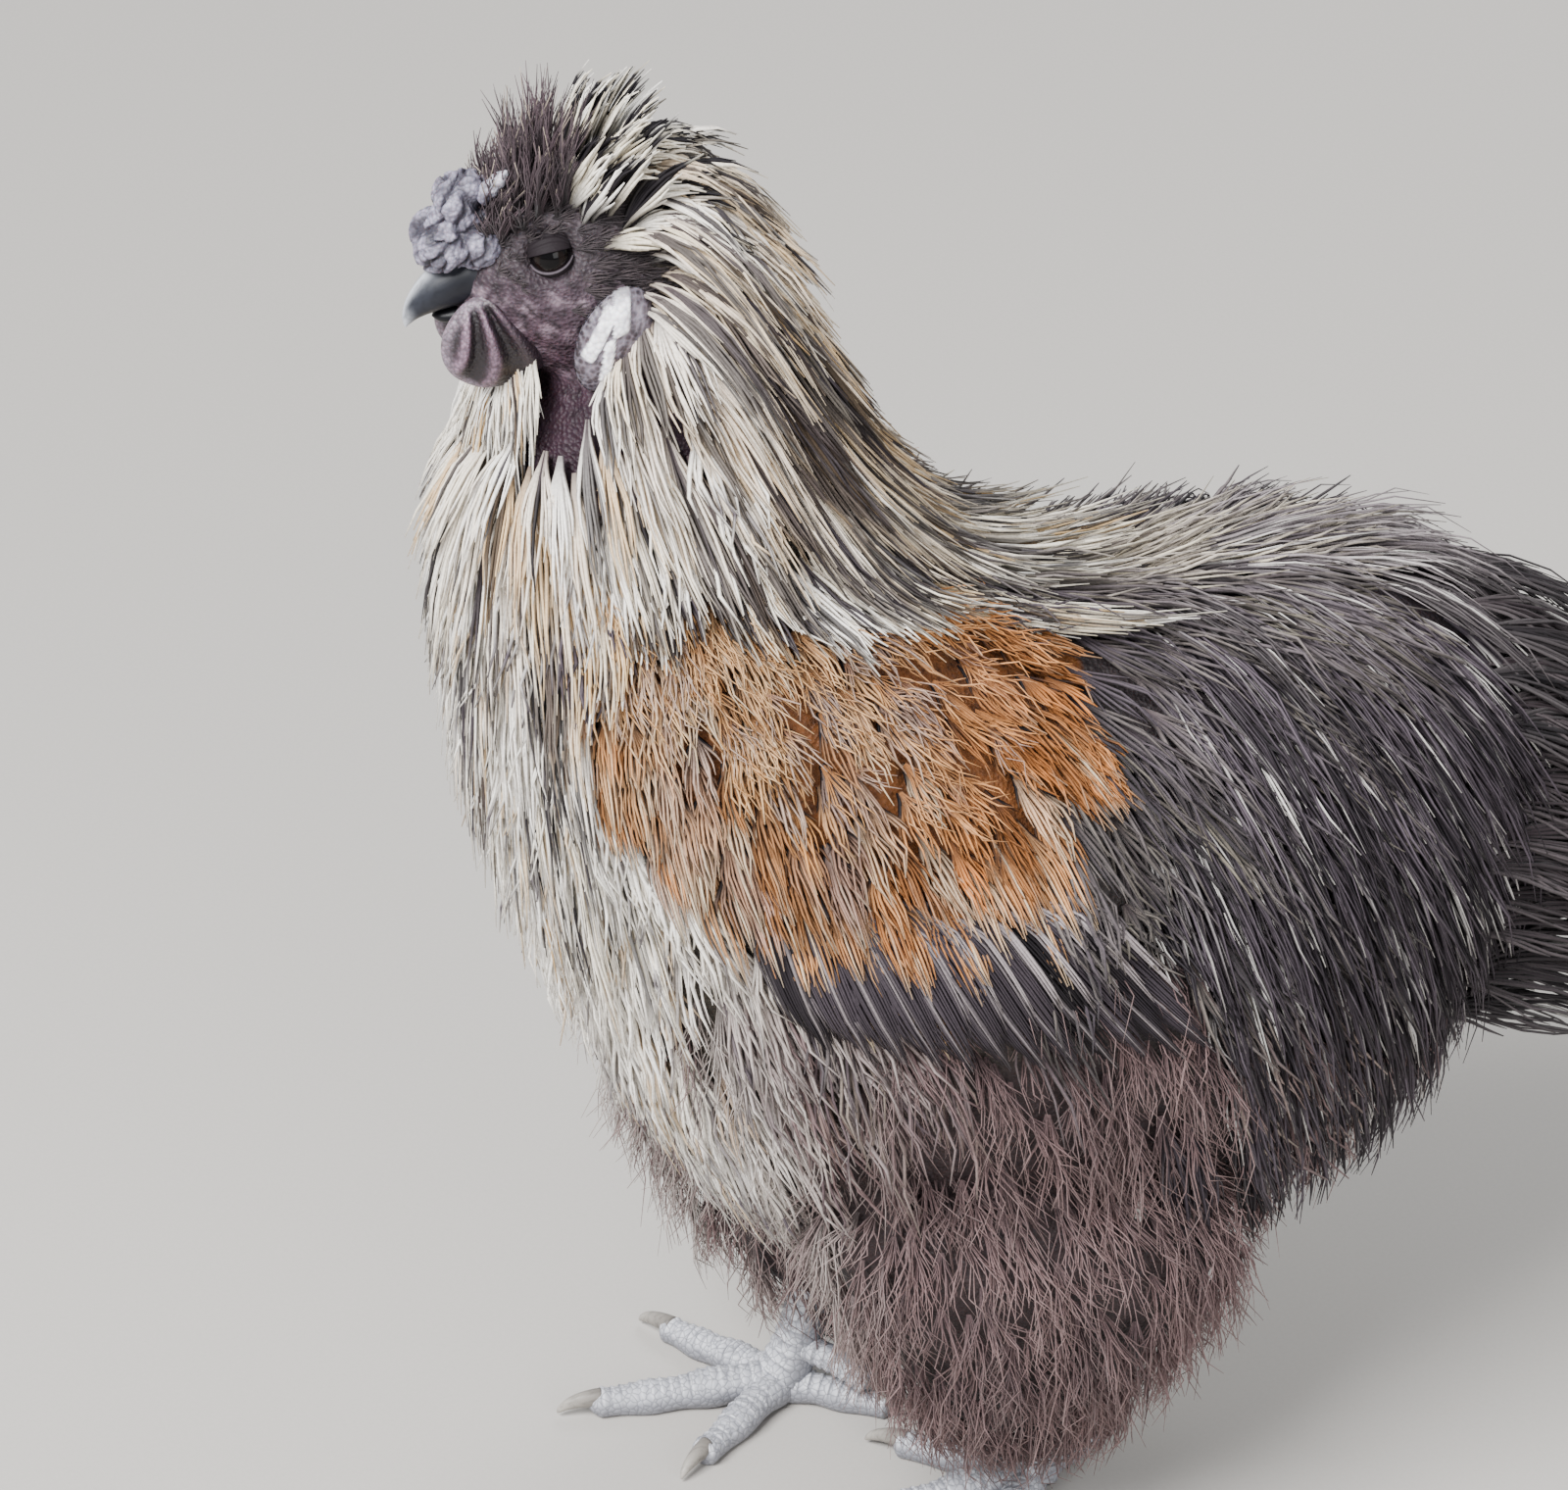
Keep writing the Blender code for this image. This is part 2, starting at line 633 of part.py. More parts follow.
def build_comb():
    """The walnut comb: a low cushion over the bill's base, covered with round bulbs and split by furrows."""
    cushion = ball("comb", COMB_AT, Vector((7.2, 6.8, 9.4)) * MM, 10, 7)
    bulbs = []
    count, golden = 11, math.pi * (3 - math.sqrt(5))
    draw = random.Random(5)
    for k in range(count):
        z = 1 - 1.75 * (k + 0.5) / count
        ring = math.sqrt(max(1 - z * z, 0))
        angle = golden * k + 0.4
        way = Vector((ring * math.cos(angle), ring * math.sin(angle), z))
        size = draw.uniform(3.2, 4.4) * MM
        at = COMB_AT + Vector((way.x * 6.4, way.y * 6.0, way.z * 8.6)) * MM
        bulbs.append(ball("bulb", at, [size] * 3, 7, 5))
    spur = ball("bulb", Vector((4.5, -92.5, 332)) * MM, Vector((1.9, 3.6, 2.3)) * MM, 6, 5)
    boolean(cushion, "UNION", bulbs + [spur])
    points, faces = head.mesh(*HEAD_MESH, offset=GAP + 0.05 * MM)
    boolean(cushion, "DIFFERENCE", [new_object("cut", points, faces)])
    points, faces = Loft(UPPER_BILL).mesh(*BILL_MESH, offset=GAP)
    boolean(cushion, "DIFFERENCE", [new_object("cut", points, faces)])
    return cushion


def build_wattle(side):
    """One wattle: a hanging rounded flap under the bill with deep upright folds."""

    def folds(p):
        ripple = 0.30 * math.sin(9.5 * p.y + 0.8 * p.z) * (1 - abs(p.z) ** 3)
        return (p.x * (1 + 0.15 * p.z) + side * ripple, p.y * (1 - 0.18 * p.z), p.z)

    name = "wattle_left" if side > 0 else "wattle_right"
    centre = Vector((6.6 * side, -94 + 0.8 * side, 295)) * MM
    flap = ball(name, centre, Vector((3.6, 8.6, 10.0)) * MM, 16, 9, shape=folds)
    cutters = []
    for surface, size in ((head, HEAD_MESH), (Loft(LOWER_BILL), BILL_MESH), (trunk, TRUNK_MESH)):
        points, faces = surface.mesh(*size, offset=GAP + 0.05 * MM)
        cutters.append(new_object("cut", points, faces))
    for cutter in cutters:
        boolean(flap, "DIFFERENCE", [cutter])
    return flap


def build_earlobe(side):
    """One ear lobe: a slanting oval pad behind the cheek, dished in the middle."""

    def dish(p):
        dent = 0.45 * math.exp(-((p.y / 0.45) ** 2 + (p.z / 0.5) ** 2)) if p.x * side > 0 else 0
        return (p.x - side * dent, p.y, p.z)

    name = "earlobe_left" if side > 0 else "earlobe_right"
    lean = Matrix.Rotation(math.radians(-22), 3, "X")
    centre = Vector((17.4 * side, -72, 300)) * MM
    pad = ball(name, centre, Vector((3.9, 6.9, 11.2)) * MM, 14, 9, turn=lean, shape=dish)
    for surface, size in ((head, HEAD_MESH), (trunk, TRUNK_MESH)):
        points, faces = surface.mesh(*size, offset=GAP + 1.0 * MM if surface is head else GAP)
        boolean(pad, "DIFFERENCE", [new_object("cut", points, faces)])
    return pad


def toe(foot_at, heading, length, base, tip_radius, pads=3):
    """A toe with its claw: knuckled pads along a line on the floor, flat below, ending in a hooked nail."""
    rings, around = 8, 6
    start = Vector((foot_at[0], foot_at[1], 0)) * MM
    way = Vector((math.sin(heading), -math.cos(heading), 0))
    across = Vector((way.y, -way.x, 0))
    points = []
    for k in range(rings):
        s = k / (rings - 1)
        claw = max(0.0, (s - 0.74) / 0.26)
        swell = 1 + 0.10 * math.cos(2 * math.pi * pads * s) * (1 - claw)
        radius = (base + (tip_radius - base) * min(s / 0.74, 1)) * swell * (1 - 0.86 * claw**0.8) * MM
        height = radius * 0.92 + 0.64 * math.sin(math.pi * min(s / 0.74, 1)) * MM
        if claw:
            height = (tip_radius * 1.15 * (1 - claw) ** 0.6 + 0.55 * claw) * MM
        hub = start + way * length * s * MM + Vector((0, 0, height))
        for j in range(around):
            angle = 2 * math.pi * (j + 0.5) / around
            p = hub + across * radius * math.cos(angle) + Vector((0, 0, radius * math.sin(angle)))
            p.z = max(p.z, 0.0)
            points.append(p)
    faces = [tuple(range(around))[::-1], tuple(range(around * (rings - 1), around * rings))]
    for r in range(rings - 1):
        for j in range(around):
            a, b = r * around + j, r * around + (j + 1) % around
            faces.append((a, b, b + around, a + around))
    return new_object("toe", points, faces)


def build_foot(side):
    """A foot of five toes and the shank above it, standing flat on the floor."""
    ahead = STRIDE if side < 0 else -STRIDE
    x, y = 25 * side, -3 - ahead
    turn = math.radians(6) * side
    pad = ball("foot_left" if side > 0 else "foot_right", Vector((x, y, 5.5)) * MM, Vector((8, 9, 7.5)) * MM, 12, 8)
    for vertex in pad.data.vertices:
        vertex.co.z = max(vertex.co.z, 0.0)
    mend(pad)
    toes = [
        toe((x, y - 3), turn, 42, 4.9, 3.4),
        toe((x + 2 * side, y - 2), turn + math.radians(50) * side, 33, 4.5, 3.1),
        toe((x - 2 * side, y - 2), turn - math.radians(46) * side, 31, 4.5, 3.1),
        toe((x - 2 * side, y + 2), turn - math.radians(152) * side, 24, 4.2, 2.9, pads=2),
    ]
    shank = Loft([
        (y + 5 + 9, 36, y - 5 + 7, 37, 5.2, x + 1 * side),
        (y + 5 + 5, 26, y - 5 + 4, 26, 4.9, x + 1 * side),
        (y + 5 + 2, 16, y - 5 + 1, 16, 4.8, x),
        (y + 6, 6, y - 6, 6, 6.2, x),
    ])
    points, faces = shank.mesh(8, 5)
    spare = Loft([
        (y + 6.5, 15, y + 2, 12, 2.0, x - 2 * side),
        (y + 11, 17, y + 8, 11.5, 2.9, x - 5 * side),
        (y + 15, 15, y + 12.5, 9.5, 2.7, x - 9 * side),
        (y + 18, 10.5, y + 16.5, 7.2, 1.7, x - 12.5 * side),
        (y + 18.4, 6.5, y + 17.6, 5.2, 0.6, x - 14.5 * side),
    ])
    spare_points, spare_faces = spare.mesh(6, 7)
    extra = [new_object("shank", points, faces), new_object("fifth_toe", spare_points, spare_faces)]
    return boolean(pad, "UNION", toes + extra)


def mend(obj):
    """Merges points that a clamp brought together and drops faces that it flattened away."""
    bm = bmesh.new()
    bm.from_mesh(obj.data)
    bmesh.ops.remove_doubles(bm, verts=bm.verts, dist=0.01 * MM)
    bmesh.ops.dissolve_degenerate(bm, edges=bm.edges, dist=0.005 * MM)
    bmesh.ops.triangulate(bm, faces=bm.faces)
    bm.to_mesh(obj.data)
    bm.free()


def build_thigh(side):
    """A thigh down to the hock, cut clear of the trunk and of the shank."""
    surface = Loft(THIGH, side=side, shift_y=THIGH_SHIFT[side])
    points, faces = surface.mesh(14, 11)
    core = new_object("thigh_left" if side > 0 else "thigh_right", points, faces)
    points, faces = trunk.mesh(*TRUNK_MESH, offset=GAP + 0.1 * MM)
    boolean(core, "DIFFERENCE", [new_object("cut", points, faces)])
    x = 26 * side
    y = -3 + (STRIDE if side > 0 else -STRIDE)
    shank = Loft([
        (y + 15.5, 44, y - 0.5, 44, 7.0, x),
        (y + 15, 36, y + 1, 36, 6.6, x),
        (y + 11, 26, y - 2, 26, 6.2, x),
        (y + 8, 14, y - 5, 14, 6.0, x),
    ])
    points, faces = shank.mesh(8, 6)
    boolean(core, "DIFFERENCE", [new_object("cut", points, faces)])
    return core, surface


COLOURS = {
    "torso": (0.55, 0.50, 0.42), "neck": (0.62, 0.55, 0.40), "rump": (0.08, 0.075, 0.08), "tail": (0.05, 0.05, 0.055),
    "crest": (0.35, 0.31, 0.27), "head": (0.10, 0.08, 0.09), "comb": (0.28, 0.27, 0.32),
    "bill_upper": (0.38, 0.42, 0.47), "bill_lower": (0.38, 0.42, 0.47), "wattle": (0.13, 0.08, 0.10),
    "earlobe": (0.40, 0.38, 0.42), "eye": (0.015, 0.013, 0.012), "wing": (0.42, 0.20, 0.08),
    "thigh": (0.13, 0.10, 0.10), "foot": (0.35, 0.38, 0.42),
}
GLOSSY = ("eye", "bill_upper", "bill_lower")


def finish():
    """Gives each node its material and sets the whole on the floor about the middle of its outline."""
    lows, highs = [], []
    for obj in bird.objects:
        kind = obj.name.replace("_left", "").replace("_right", "")
        material = bpy.data.materials.new(obj.name + "_finish")
        material.use_nodes = True
        shader = material.node_tree.nodes["Principled BSDF"]
        shader.inputs["Base Color"].default_value = (*COLOURS[kind], 1)
        shader.inputs["Roughness"].default_value = 0.25 if kind in GLOSSY else 0.85
        obj.data.materials.clear()
        obj.data.materials.append(material)
        lows.append([min(v.co[i] for v in obj.data.vertices) for i in range(3)])
        highs.append([max(v.co[i] for v in obj.data.vertices) for i in range(3)])
    low, high = np.min(lows, axis=0), np.max(highs, axis=0)
    shift = Vector((-(low[0] + high[0]) / 2, -(low[1] + high[1]) / 2, -low[2]))
    for obj in bird.objects:
        obj.data.transform(Matrix.Translation(shift))
    print("shift in mm", [round(c / MM, 3) for c in shift])


def region_of(y, z):
    """Which node of the trunk a point belongs to."""
    for name, cut in (("neck", NECK_CUT), ("torso", RUMP_CUT), ("rump", TAIL_CUT)):
        point, normal = cut_plane(cut)
        if (y - point.y) * normal.y + (z - point.z) * normal.z > 0:
            return name
    return "tail"


# Locks of each stretch: length, width, depth and height of the tip, in millimetres, and the pull on their lie.
LOCKS = {
    "neck": (52, 15, 2.2, 10, (0, 0.25, -0.55)),
    "torso": (46, 17, 2.2, 10, (0, 0.1, -0.8)),
    "rump": (60, 16, 2.2, 10, (0, 0.0, -1.6)),
}
ROWS = 12
ROW_SPACING = 22.5 * MM


def trunk_roots():
    """Roots over the trunk, row by row from the tail forwards, clear of the wings and of the underside."""
    out = []
    for u, v, size in rows_on(trunk, 1.9, 12.7, ROWS, 0.0, ROW_SPACING, 11):
        x, y, z = (float(c) for c in trunk.frame(np.array([u]), np.array([v]))[0][0])
        a, b = wing_place(np.array([x, y, z]))
        name = region_of(y, z)
        under_wing = abs(x) > 25 * MM and ((a - 0.52) / 0.48) ** 2 + (b / 0.88) ** 2 < 1
        on_top_of_wing = b > 0.35 and a > 0.1
        underside = z < 70 * MM and -0.04 < y < 0.045
        if name == "tail" or underside or (under_wing and not on_top_of_wing):
            continue
        out.append((name, u, v, size))
    return out


def grow_trunk(name, core, others, roots):
    """Feathers one stretch of the trunk with its locks."""
    length, width, depth, rise, pull = LOCKS[name]
    mine = [(u, v, size) for region, u, v, size in roots if region == name]
    coat = Coat(name, core, others)
    lengths = np.full(len(mine), length * MM)
    grow(coat, trunk, mine, lie_towards(pull), lengths, width * MM, depth * MM, rise * MM)
    return coat.fuse()


def plume(root, way, droop, length, steps, side=None):
    """A free path from a root along way that sinks under its own weight, with its upward normals."""
    s = np.linspace(0, 1, steps + 1)[:, None]
    path = np.array(root) + np.array(way) * length * s - np.array([0, 0, droop]) * s**2
    ahead = np.gradient(path, axis=0)
    ahead /= np.linalg.norm(ahead, axis=1, keepdims=True)
    up = np.array([0, 0, 1.0]) if side is None else np.array(side)
    normals = up - (ahead @ up)[:, None] * ahead
    return path, normals / np.linalg.norm(normals, axis=1, keepdims=True)


def grow_tail(core, others):
    """Three tiers of soft drooping vanes on the stump of the tail, the middle ones longest."""
    coat = Coat("tail", core, others)
    draw = random.Random(21)
    tiers = ((0.8, 7, 0.36, 48, 24), (1.15, 7, 0.32, 60, 36), (1.55, 7, 0.26, 68, 44))
    for v, count, spread, length, droop in tiers:
        for k in range(count):
            share = (k + 0.5) / count * 2 - 1
            u = spread * share + draw.uniform(-0.01, 0.01)
            place, normal, _, _ = trunk.frame(np.array([u % 1]), np.array([v]))
            place, normal = place[0], normal[0]
            way = normal * 0.55 + np.array([0.25 * share, 0.95, 0.25 - 0.35 * abs(share)])
            way /= np.linalg.norm(way)
            size = draw.uniform(0.9, 1.1) * (1 - 0.2 * abs(share))
            path, normals = plume(place - way * 3 * MM, way, droop * size * MM, length * size * MM, 3, normal)
            coat.add(path, normals, 0.0, 19 * size * MM, 2.0 * MM, lifts=(0, 3, 6))
    return coat.fuse()


def wing_root(a, b):
    """The surface numbers (u, v) of the left flank at a place on the wing."""
    u, v = np.meshgrid(np.linspace(0.03, 0.47, 160), np.linspace(2.0, 11.0, 200))
    start, end = np.array(SHOULDER) * MM, np.array(WING_TIP) * MM
    axis = end - start
    across = np.array([-axis[1], axis[0]]) / np.linalg.norm(axis)
    yz = start + axis * a + across * b * WING_HALF_HEIGHT * MM
    near = ((trunk.plain(u, v)[..., 1:3] - yz) ** 2).sum(-1)
    k = np.unravel_index(near.argmin(), near.shape)
    return float(u[k]), float(v[k])


def grow_wing(side, core, others):
    """Flights under three tiers of broad scalloped coverts."""
    coat = Coat("wing_left" if side > 0 else "wing_right", core, others)
    draw = random.Random(33)
    flights = [(0.30 + 0.10 * k, -0.52 - 0.02 * k, 50 + 2 * k) for k in range(6)]
    tiers = [(flights, (0, 0.85, -0.52), 13, 1.6, 5)]
    for b, first, last, count, length in ((-0.28, 0.11, 0.85, 6, 31), (0.14, 0.07, 0.89, 6, 30)):
        row = [(first + (last - first) * k / (count - 1), b, length) for k in range(count)]
        tiers.append((row, (0, 0.35, -0.94), 18, 1.9, 7.5))
    tiers.append(([(0.17 + 0.16 * k, 0.56, 29) for k in range(5)], (0, 0.35, -0.94), 18, 1.9, 7.5))
    for row, direction, width, depth, rise in tiers:
        roots = [(*wing_root(a, b), draw.uniform(0.9, 1.1)) for a, b, _ in row]
        lengths = np.array([length * MM for _, _, length in row])
        u, v = np.array([r[0] for r in roots]), np.array([r[1] for r in roots])
        paths, normals = trace(winged, u, v, lie_down(direction), lengths, STEPS)
        for path, normal, root in zip(paths * [side, 1, 1], normals * [side, 1, 1], roots):
            coat.add(path, normal, rise * MM, width * root[2] * MM, depth * MM, lifts=(0, 2, 4))
    return coat.fuse()


def grow_thigh(side, core, surface, others):
    """Fluff as rounded clumps set close, hanging down and a little back."""
    coat = Coat("thigh_left" if side > 0 else "thigh_right", core, others)
    roots = rows_on(surface, 1.5, 5.0, 4, 0.25, 27 * MM, 41 + side)
    roots = [r for r in reversed(roots)]
    lengths = np.full(len(roots), 27 * MM)
    down = lie_down((0, 0.22, -1.0))
    grow(coat, surface, roots, down, lengths, 20 * MM, 3.4 * MM, 9 * MM, belly=0.55)
    return coat.fuse()


def lie_down(direction):
    """A lie that keeps to one direction of space."""
    direction = np.array(direction, float)

    def lie(place, normal, along_u, along_v):
        return np.broadcast_to(direction, place.shape)

    return lie


def grow_crest(core, others):
    """The crest: short plumes standing up in front and sweeping back over the nape."""
    coat = Coat("crest", core, others)
    draw = random.Random(53)
    for tier, (height, count, length) in enumerate(((0.08, 10, 25), (0.5, 8, 24), (0.86, 4, 22))):
        for k in range(count):
            angle = 2 * math.pi * (k + 0.5 * (tier % 2)) / count
            ring = math.sqrt(1 - height**2)
            out = np.array([ring * math.sin(angle), -ring * math.cos(angle), height])
            root = np.array(CREST_AT) + out * np.array(CREST_RADII) * 0.8
            way = out * [0.9, 0.7, 0.9] + [0, 0.5, 0.45]
            way /= np.linalg.norm(way)
            size = draw.uniform(0.88, 1.12) * (0.75 if out[1] < -0.5 else 1.0)
            path, normals = plume(root, way, 9 * size * MM, length * size * MM, 3, out)
            coat.add(path, normals, 0.0, 10.5 * size * MM, 2.2 * MM, lifts=(0, 2, 4))
    return coat.fuse()


# Room left for the comb and its spur, as balls.
COMB_ROOM = [(COMB_AT, Vector((14, 12.5, 16)) * MM), (Vector((4.5, -92.5, 332)) * MM, Vector((4, 6, 4)) * MM)]
CREST_AT = Vector((0, -69, 330)) * MM
CREST_RADII = Vector((14.5, 23, 12)) * MM


def build_crest():
    """The low cushion that the crest's plumes stand on, cut clear of skull, neck and comb."""
    core = ball("crest", CREST_AT, CREST_RADII, 14, 9)
    for surface, size, bulge in ((head, HEAD_MESH, 1.0 * MM), (trunk, TRUNK_MESH, 0)):
        points, faces = surface.mesh(*size, offset=GAP + bulge)
        boolean(core, "DIFFERENCE", [new_object("cut", points, faces)])
    for centre, radii in COMB_ROOM:
        boolean(core, "DIFFERENCE", [ball("cut", centre, radii, 12, 8)])
    return core


tail_core, rump_core, torso_core, neck_core = build_cores()
feet = [build_foot(1), build_foot(-1)]
skull = build_head()
bills = build_bill()
comb = build_comb()
wattles = [build_wattle(1), build_wattle(-1)]
lobes = [build_earlobe(1), build_earlobe(-1)]
eyes = [build_eye(1), build_eye(-1)]
wing_cores = [wing_patch("wing_left", 1), wing_patch("wing_right", -1)]
thigh_cores = [build_thigh(1), build_thigh(-1)]
crest_core = build_crest()
roots = trunk_roots()

thighs = [grow_thigh(side, core, surface, [torso_core, rump_core] + feet + wing_cores)
          for side, (core, surface) in zip((1, -1), thigh_cores)]
wings = [grow_wing(side, core, [torso_core, rump_core, neck_core] + thighs)
         for side, core in zip((1, -1), wing_cores)]
tail = grow_tail(tail_core, [rump_core])
rump = grow_trunk("rump", rump_core, [tail, torso_core] + wings + thighs + feet, roots)
torso = grow_trunk("torso", torso_core, [rump, tail, neck_core] + wings + thighs + feet, roots)
face = [skull, comb] + wattles + lobes + bills
neck = grow_trunk("neck", neck_core, [torso, rump, crest_core] + wings + face, roots)
crest = grow_crest(crest_core, [neck] + face)
finish()
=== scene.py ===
"""A silkie-cross cockerel, life size, standing with its right foot a step ahead, seen from its left."""

import json
import math

import bpy
import numpy as np
from mathutils import Matrix, Vector


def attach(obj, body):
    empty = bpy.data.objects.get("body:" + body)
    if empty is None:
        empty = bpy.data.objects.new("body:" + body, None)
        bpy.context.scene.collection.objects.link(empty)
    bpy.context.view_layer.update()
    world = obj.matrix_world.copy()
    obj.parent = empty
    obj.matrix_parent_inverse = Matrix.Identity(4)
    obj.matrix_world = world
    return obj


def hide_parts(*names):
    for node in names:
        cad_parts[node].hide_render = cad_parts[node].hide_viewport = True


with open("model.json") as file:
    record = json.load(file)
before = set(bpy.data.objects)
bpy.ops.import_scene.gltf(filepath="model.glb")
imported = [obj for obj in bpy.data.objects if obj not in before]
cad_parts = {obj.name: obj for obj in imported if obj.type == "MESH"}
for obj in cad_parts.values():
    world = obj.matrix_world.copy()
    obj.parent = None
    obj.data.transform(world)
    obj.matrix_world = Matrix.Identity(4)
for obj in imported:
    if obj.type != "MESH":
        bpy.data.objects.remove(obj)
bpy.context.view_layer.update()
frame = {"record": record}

MM = 0.001
# The solids were centred over the floor once built, so every place below moves by this much.
# The left sole was drawn at y 19 mm, and the record says where it stands now.
SHIFT = np.array([0.0, frame["record"]["mounts"][0]["pos_m"][1] - 19 * MM, 0.0])


# Camera, floor and light
# A long lens looks down on the bird's left side. The floor is a plain pale sweep, and the light comes
# from a broad window-like panel above, with a weaker one in front and a pale surround.
AZIMUTH, ELEVATION = math.radians(74), math.radians(31)
VIEWED_FROM = Vector((1.22189732, -0.38204984, 0.95234416)) + Vector(SHIFT)
LENS, FILM = 160.714, 36.0


def linear(shade):
    """Turns an sRGB hex colour such as "#a0b1c2" into linear red, green and blue."""
    parts = [int(shade[k:k + 2], 16) / 255 for k in (1, 3, 5)]
    return tuple(c / 12.92 if c <= 0.04045 else ((c + 0.055) / 1.055) ** 2.4 for c in parts)


def put(tree, kind, sockets=None, **settings):
    """Adds a node of that kind. Each socket, by name or number, takes a value or another node's output."""
    node = tree.nodes.new("ShaderNode" + kind)
    for key, value in settings.items():
        setattr(node, key, value)
    for key, value in (sockets or {}).items():
        if isinstance(value, bpy.types.NodeSocket):
            tree.links.new(value, node.inputs[key])
        else:
            node.inputs[key].default_value = value
    return node


def new_finish(name, roughness, levels=None):
    """An empty material with its shader: returns the material, its node tree and the shader node."""
    material = bpy.data.materials.new(name)
    material.use_nodes = True
    tree = material.node_tree
    tree.nodes.clear()
    shader = put(tree, "BsdfPrincipled", {"Roughness": roughness, **(levels or {})})
    put(tree, "OutputMaterial", {"Surface": shader.outputs[0]})
    return material, tree, shader


camera_data = bpy.data.cameras.new("studio_camera")
camera_data.lens, camera_data.sensor_width = LENS, FILM
camera_data.clip_start, camera_data.clip_end = 0.05, 20.0
camera = bpy.data.objects.new("studio_camera", camera_data)
back = Vector((math.sin(AZIMUTH) * math.cos(ELEVATION), -math.cos(AZIMUTH) * math.cos(ELEVATION),
               math.sin(ELEVATION)))
right = Vector((math.cos(AZIMUTH), math.sin(AZIMUTH), 0))
turn = Matrix((right, back.cross(right), back)).transposed().to_4x4()
camera.matrix_world = Matrix.Translation(VIEWED_FROM) @ turn
bpy.context.scene.collection.objects.link(camera)
bpy.context.scene.camera = camera

floor_mesh = bpy.data.meshes.new("studio_floor")
floor_mesh.from_pydata([(-4, -4, 0), (4, -4, 0), (4, 4, 0), (-4, 4, 0)], [], [(0, 1, 2, 3)])
studio_floor = bpy.data.objects.new("studio_floor", floor_mesh)
bpy.context.scene.collection.objects.link(studio_floor)
# Matt studio paper: pale and even, with a faint tooth too fine to see from here.
paper, paper_tree, paper_shader = new_finish("matt_studio_paper", 0.9)
paper_tooth = put(paper_tree, "TexNoise", {"Scale": 900.0, "Detail": 2.0,
                  "Vector": put(paper_tree, "TexCoord").outputs["Object"]})
paper_shade = put(paper_tree, "Mix", {0: paper_tooth.outputs[0], 6: (*linear("#aaa6a1"), 1),
                                      7: (*linear("#b1ada8"), 1)}, data_type="RGBA")
paper_tree.links.new(paper_shade.outputs[2], paper_shader.inputs["Base Color"])
floor_mesh.materials.append(paper)

LIGHTS = [  # name, place, aims at, width and height, power
    ("window_panel", (0.8, -1.2, 1.7), (0, 0, 0.17), (1.2, 0.9), 125.0),
    ("front_fill", (1.7, 0.4, 0.8), (0, 0, 0.17), (1.0, 1.0), 16.0),
    ("back_rim", (-1.1, 0.9, 1.5), (0, 0, 0.2), (0.8, 0.8), 18.0),
]
for name, place, aim, extent, power in LIGHTS:
    panel = bpy.data.lights.new(name, "AREA")
    panel.shape, panel.size, panel.size_y, panel.energy = "RECTANGLE", extent[0], extent[1], power
    lamp = bpy.data.objects.new(name, panel)
    away = Vector(place) - Vector(aim)
    lamp.matrix_world = Matrix.Translation(place) @ away.to_track_quat("Z", "Y").to_matrix().to_4x4()
    bpy.context.scene.collection.objects.link(lamp)

surround = bpy.data.worlds.new("pale_surround")
surround.use_nodes = True
surround.node_tree.nodes["Background"].inputs[0].default_value = (*linear("#e9edf2"), 1)
surround.node_tree.nodes["Background"].inputs[1].default_value = 0.80
bpy.context.scene.world = surround


# Skin
# One skin of bare flesh goes over the whole bird without a seam. It is mauve and creased on the face,
# where it shows, and lies under the plumage on the neck, trunk and thighs in the plumage's own shades,
# darkened there as painted shade beneath the feathers.
# Sections of each form, in millimetres: back point (y, z), front or lower point (y, z), half width, centre x.
TRUNK = [
    (134, 156, 134, 156, 0, 0),
    (129, 188, 116, 118, 29, 0),
    (112, 211, 88, 80, 49, 0),
    (86, 220, 56, 61, 61, 0),
    (60, 222, 24, 55, 67, 0),
    (38, 223, -8, 58, 69, 0),
    (18, 227, -36, 76, 68, 0),
    (2, 236, -62, 108, 64, 0),
    (-10, 249, -81, 144, 57, 0),
    (-20, 265, -92, 179, 49, 0),
    (-27, 282, -98, 213, 42, 0),
    (-33, 299, -101, 242, 35, 0),
    (-39, 314, -99, 265, 26, 0),
    (-47, 328, -90, 283, 15, 0),
]
HEAD = [
    (-46, 306, -46, 306, 0, 0),
    (-50, 319, -50, 291, 9.5, 0),
    (-57, 326, -57, 284, 13.5, 0),
    (-65, 330, -65, 281, 15.5, 0),
    (-74, 331.5, -74, 282, 16, 0),
    (-82, 330, -82, 286, 15, 0),
    (-89, 326, -89, 291, 12.6, 0),
    (-95, 320, -95, 295, 9.4, 0),
    (-99, 314, -99, 298, 6.4, 0),
    (-101.5, 306, -101.5, 306, 0, 0),
]
THIGH = [
    (30, 122, -34, 122, 14, 34),
    (48, 102, -44, 106, 24, 38),
    (52, 82, -45, 86, 29, 40),
    (46, 62, -38, 66, 27, 38),
    (35, 42, -27, 46, 22, 34),
    (23, 25, -15, 29, 15, 30),
    (6, 18, 4, 18, 0, 28),
]
THIGH_SHIFT = {1: 9, -1: -14}  # how far each thigh stands back, left and right, in millimetres
SKIN_DEPTH = 3.5 * MM  # plumage hides this much of the trunk and thighs
SHOULDER, WING_TIP = (-84, 228), (28, 172)  # ends of the folded wing's middle line, (y, z) in millimetres
WING_HALF_HEIGHT, WING_THICKNESS = 40, 11
